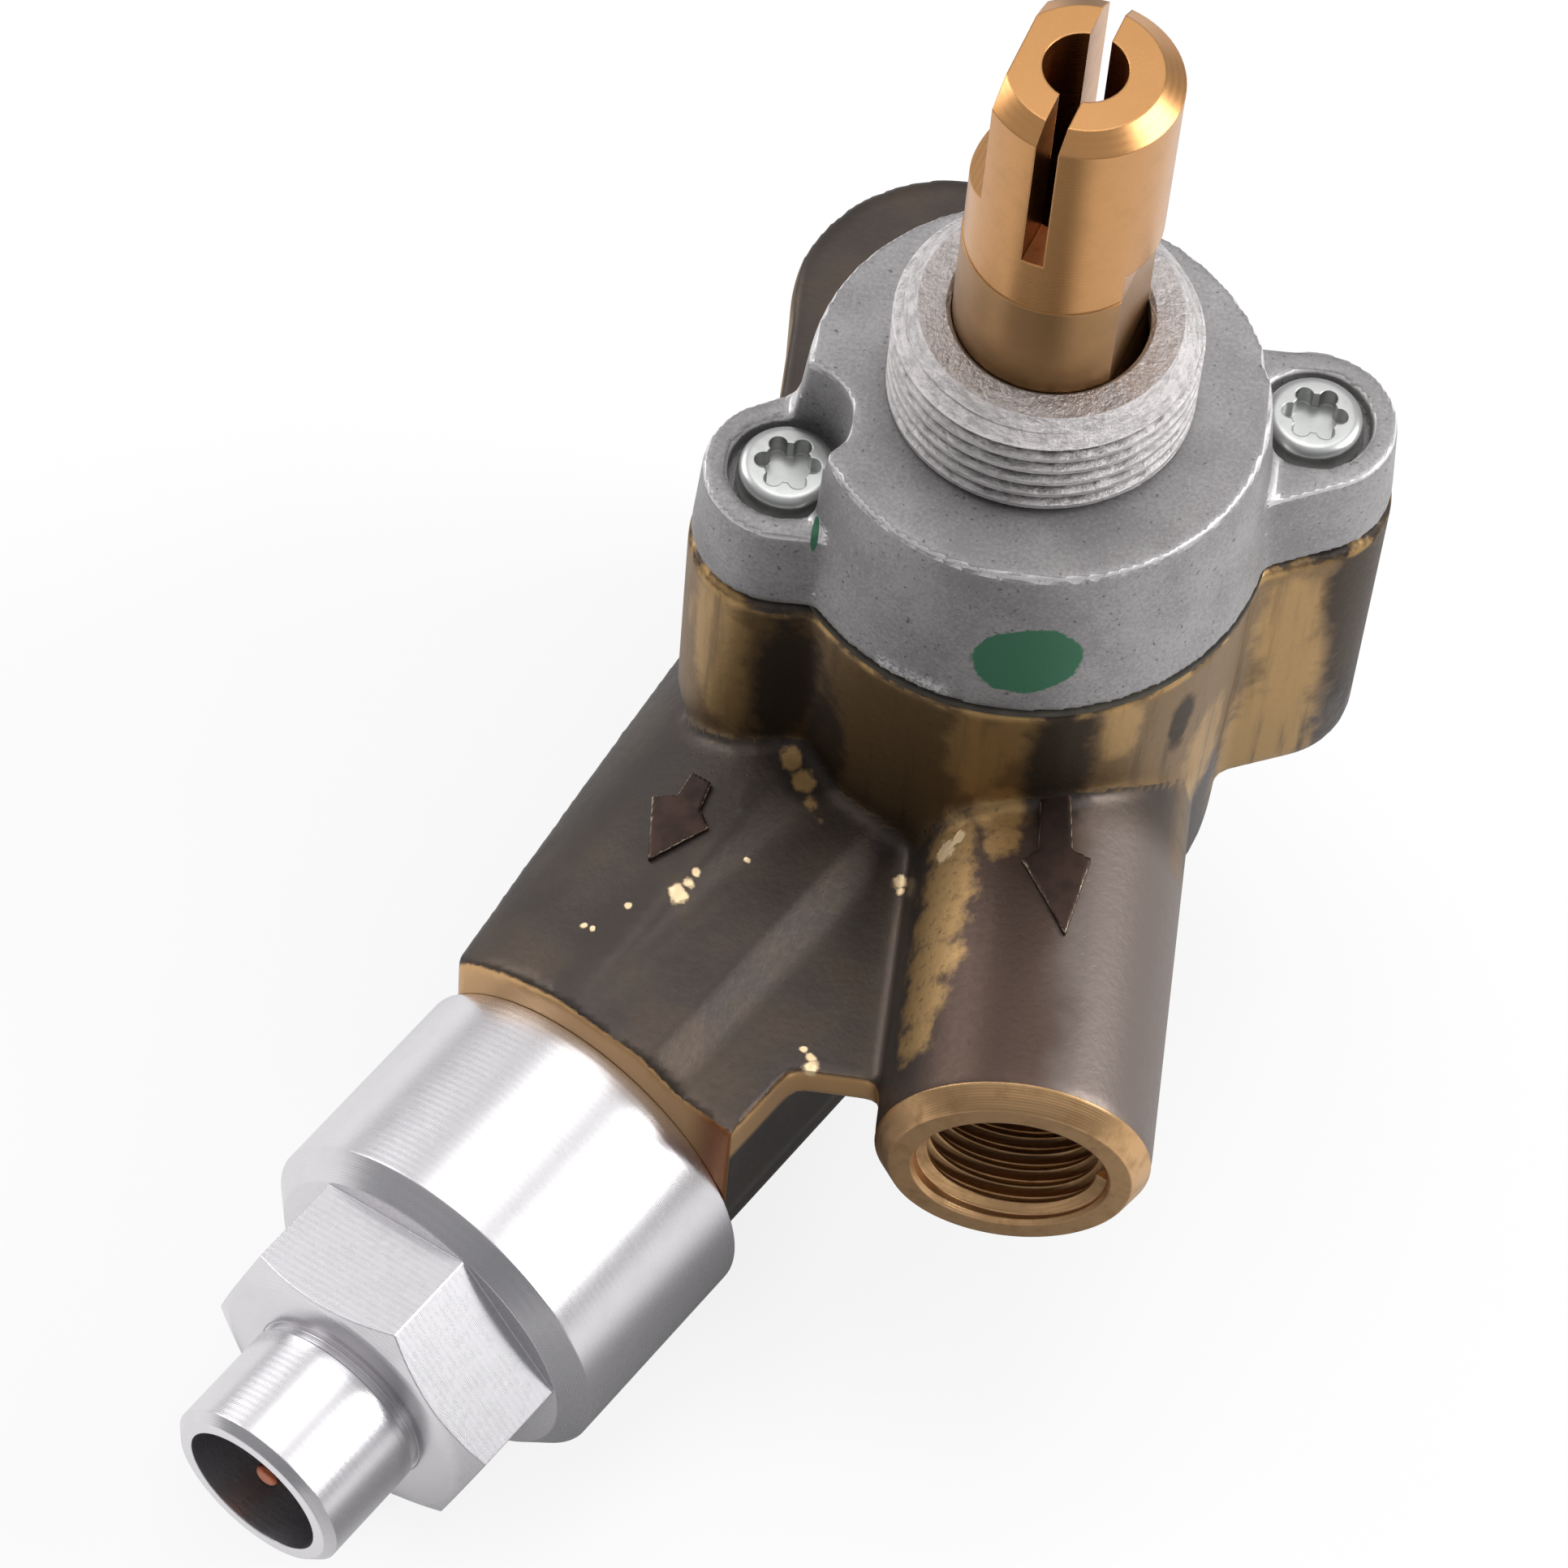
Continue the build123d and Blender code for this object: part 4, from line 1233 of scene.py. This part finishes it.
@dataclass
class Fittings:
    """Turned and small pieces that keep their shapes, each with its own finish."""

    brass: Colour = srgb(198, 147, 95)
    brass_dull: Colour = srgb(172, 132, 84)
    # Tone of the stem's smears and of its painted shade low down.
    brass_stained_and_shaded: Colour = srgb(142, 112, 76)
    bright: Colour = srgb(222, 220, 223)
    bright_dull: Colour = srgb(196, 194, 198)

    def build(self) -> None:
        """Dress every remaining node."""
        arm = tuple(LINES.arm_dir)
        origin = tuple(LINES.arm_origin)
        stem = Machined("stem_brass", self.brass, self.brass_stained_and_shaded, pitch=7, rough=0.24, worn=0.15,
                        depth=0.0015, shade_below=12.9)
        nut = Machined("nut_alloy", self.bright, self.bright_dull, arm, origin, pitch=16, rough=0.24,
                       depth=0.005, worn=0.12)
        zinc = Machined("zinc_plate", srgb(190, 192, 190), srgb(160, 162, 158), pitch=3, rough=0.3,
                        depth=0.004)
        steel = Plain("plain_steel", srgb(165, 165, 168), srgb(130, 130, 134))
        rubber = Plain("black_rubber", srgb(30, 30, 31), srgb(40, 40, 41), metal=0.0, rough=0.6)
        copper = Plain("bare_copper", srgb(186, 112, 82), srgb(140, 80, 58), metal=1.0, rough=0.35)
        iron = Plain("soft_iron", srgb(100, 98, 98), srgb(78, 76, 76), metal=1.0, rough=0.5)
        inner = Machined("inner_brass", self.brass, self.brass_dull, rough=0.25)
        fibre = Plain("fibre_sheet", srgb(60, 56, 50), srgb(78, 72, 62), metal=0.0, rough=0.8)
        mould = Plain("dark_mould", srgb(38, 40, 40), srgb(48, 50, 48), metal=0.0, rough=0.5)
        finishes: list[tuple[Any, Body, str, tuple[str, ...]]] = [
            (stem, Body.STEM, "turned_brass", ("stem",)),
            (nut, Body.HOUSING, "nut_aluminium", ("magnet_nut",)),
            (nut, Body.HOUSING, "nose_metal", ("magnet_base",)),
            (zinc, Body.HOUSING, "screw_zinc", ("cover_screw_left", "cover_screw_right")),
            (copper, Body.HOUSING, "copper", ("contact_pin", "magnet_coil")),
            (mould, Body.HOUSING, "insulator", ("contact_insulator",)),
            (fibre, Body.HOUSING, "gasket", ("cover_gasket",)),
            (rubber, Body.HOUSING, "black_rubber", ("magnet_seal",)),
            (rubber, Body.STEM, "black_rubber", ("stem_o_ring",)),
            (rubber, Body.VALVE, "black_rubber", ("valve_disc",)),
            (steel, Body.HOUSING, "inner_steel", ("lever_pivot_pin", "magnet_can")),
            (steel, Body.STEM, "inner_steel", ("push_rod",)),
            (steel, Body.LEVER, "inner_steel", ("rocker_lever",)),
            (steel, Body.VALVE, "inner_steel", ("valve_spindle",)),
            (steel, Body.STEM, "spring_steel", ("stem_return_spring",)),
            (steel, Body.VALVE, "spring_steel", ("valve_spring",)),
            (iron, Body.HOUSING, "soft_iron", ("magnet_core",)),
            (iron, Body.VALVE, "soft_iron", ("armature",)),
            (inner, Body.STEM, "inner_brass", ("bypass_screw",)),
            (inner, Body.PLUG, "inner_brass", ("taper_plug",)),
        ]
        springs = {
            "stem_return_spring": Spring("stem_push", UP, (0.0, 0.0, -4.04), length=8.14, travel=3.2),
            "valve_spring": Spring("magnet_slide", arm, tuple(LINES.arm_origin + LINES.arm_dir * 19.32),
                                   length=6.86, travel=1.4),
        }
        made: dict[str, bpy.types.Material] = {}
        for finish, body, slot, nodes in finishes:
            if finish.name not in made:
                made[finish.name] = finish.material()
            for node in nodes:
                piece = Bench.copy(node, f"{node}_shown")
                Bench.smooth(piece, 30)
                Bench.dress(piece, made[finish.name], body, slot, node)
                if node in springs:
                    springs[node].squash(piece)


@dataclass
class Studio:
    """Pale floor, soft light and the photograph's camera."""

    floor_z: float = -48.4
    floor_size: float = 6.0
    eye: Colour = (-2.167, -214.705, 289.975)
    right: Colour = (0.99104, 0.1227, 0.05283)
    down: Colour = (0.13163, -0.82941, -0.54291)
    forward: Colour = (-0.0228, 0.54499, -0.83813)
    lens: float = 161.05
    sensor: float = 36.0
    white: Colour = (0.88, 0.88, 0.88)
    dome: Colour = (0.68, 0.67, 0.68)
    skirt: Colour = (0.22, 0.22, 0.23)
    zenith: Colour = (0.0, 0.35, 0.94)
    lift: float = 0.8
    gleam: float = 0.6
    front: Colour = (0.27, 0.27, 0.27)
    front_x: float = -4.0
    front_reach: Span = (10, 40)
    aim: Colour = (0.0, -0.01, -0.02)

    def build(self) -> None:
        """Set up the stage."""
        self._floor()
        self._world()
        self._lamps()
        self._camera()
        bpy.context.scene.view_settings.view_transform = "Standard"

    def _backdrop(self, name: str) -> bpy.types.Material:
        """Floor material that shows near white and keeps the object's shadow.

        Args:
            name: Name of the new material.

        Returns:
            The material, which is darker in front where metal mirrors it.
        """
        g = Graph.of_finish(name)
        glow = g.node("ShaderNodeEmission", {}, {"Color": (1.0, 1.0, 1.0), "Strength": 1.0})
        seen = g.node("ShaderNodeLightPath", {}, {}, "Is Camera Ray")
        mirrored = g.node("ShaderNodeLightPath", {}, {}, "Is Glossy Ray")
        aside = abs(g.along(ACROSS, (self.front_x, 0, 0))).ease(*self.front_reach)
        tone = g.mix(mirrored * (1 - aside), self.white, self.front)
        matt = g.node("ShaderNodeBsdfDiffuse", {}, {"Color": tone})
        share = (seen * self.lift).most(mirrored * aside * self.gleam)
        g.show(g.node("ShaderNodeMixShader", {}, {0: share, 1: matt, 2: glow}))
        return g.owner

    def _floor(self) -> None:
        """Large pale floor below the lowest piece."""
        Bench.start()
        bpy.ops.mesh.primitive_plane_add(size=self.floor_size, location=(0, 0, self.floor_z * MM))
        floor = bpy.context.object
        floor.name = "floor"
        bpy.ops.object.mode_set(mode="EDIT")
        bpy.ops.mesh.subdivide(number_cuts=4)
        bpy.ops.object.mode_set(mode="OBJECT")
        floor.data.materials.append(self._backdrop("pale_floor"))

    def _world(self) -> None:
        """Pale surroundings, brightest overhead like a light tent."""
        g = Graph(bpy.data.worlds.new("studio"))
        view = g.node("ShaderNodeTexCoord", {}, {}, "Generated")
        tilt = g.vector("DOT_PRODUCT", view, self.zenith, "Value")
        stops = [(0.0, self.skirt), (0.75, self.dome)]
        sky = g.node("ShaderNodeValToRGB", {"stops": stops}, {"Fac": tilt})
        g.show(g.node("ShaderNodeBackground", {}, {"Color": sky, "Strength": 1.0}), "ShaderNodeOutputWorld")
        bpy.context.scene.world = g.owner

    def _lamps(self) -> None:
        """Soft boxes: a key on the right, a weaker one on the left and one above."""
        for name, spot, size, power in (
                ("key", (0.52, 0.03, 0.32), 0.36, 3.0),
                ("fill", (-0.5, 0.25, 0.3), 0.34, 1.3),
                ("top", (0.0, 0.2, 0.65), 0.4, 1.15)):
            lamp = bpy.data.lights.new(name, "AREA")
            lamp.size = size
            lamp.energy = power
            holder = bpy.data.objects.new(name, lamp)
            bpy.context.scene.collection.objects.link(holder)
            holder.location = spot
            aim = Vector(self.aim) - Vector(spot)
            holder.rotation_euler = aim.to_track_quat("-Z", "Y").to_euler()

    def _camera(self) -> None:
        """Camera at the photograph's viewing angle."""
        data = bpy.data.cameras.new("photo")
        data.sensor_fit = "HORIZONTAL"
        data.sensor_width = self.sensor
        data.lens = self.lens
        data.clip_start, data.clip_end = 0.01, 20
        camera = bpy.data.objects.new("photo", data)
        bpy.context.scene.collection.objects.link(camera)
        rows = (Vector(self.right), -Vector(self.down), -Vector(self.forward))
        axes = Matrix(rows).transposed().to_4x4()
        camera.matrix_world = Matrix.Translation(Vector(self.eye) * MM) @ axes
        bpy.context.scene.camera = camera


def main() -> None:
    """Build the valve's looks, piece by piece."""
    logging.basicConfig(level=logging.INFO, format="%(message)s")
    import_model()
    parts: list[Callable[[], None]] = [Forging().build, Cover().build, Fittings().build, Studio().build]
    for build in parts:
        build()


if __name__ == "__main__":
    main()
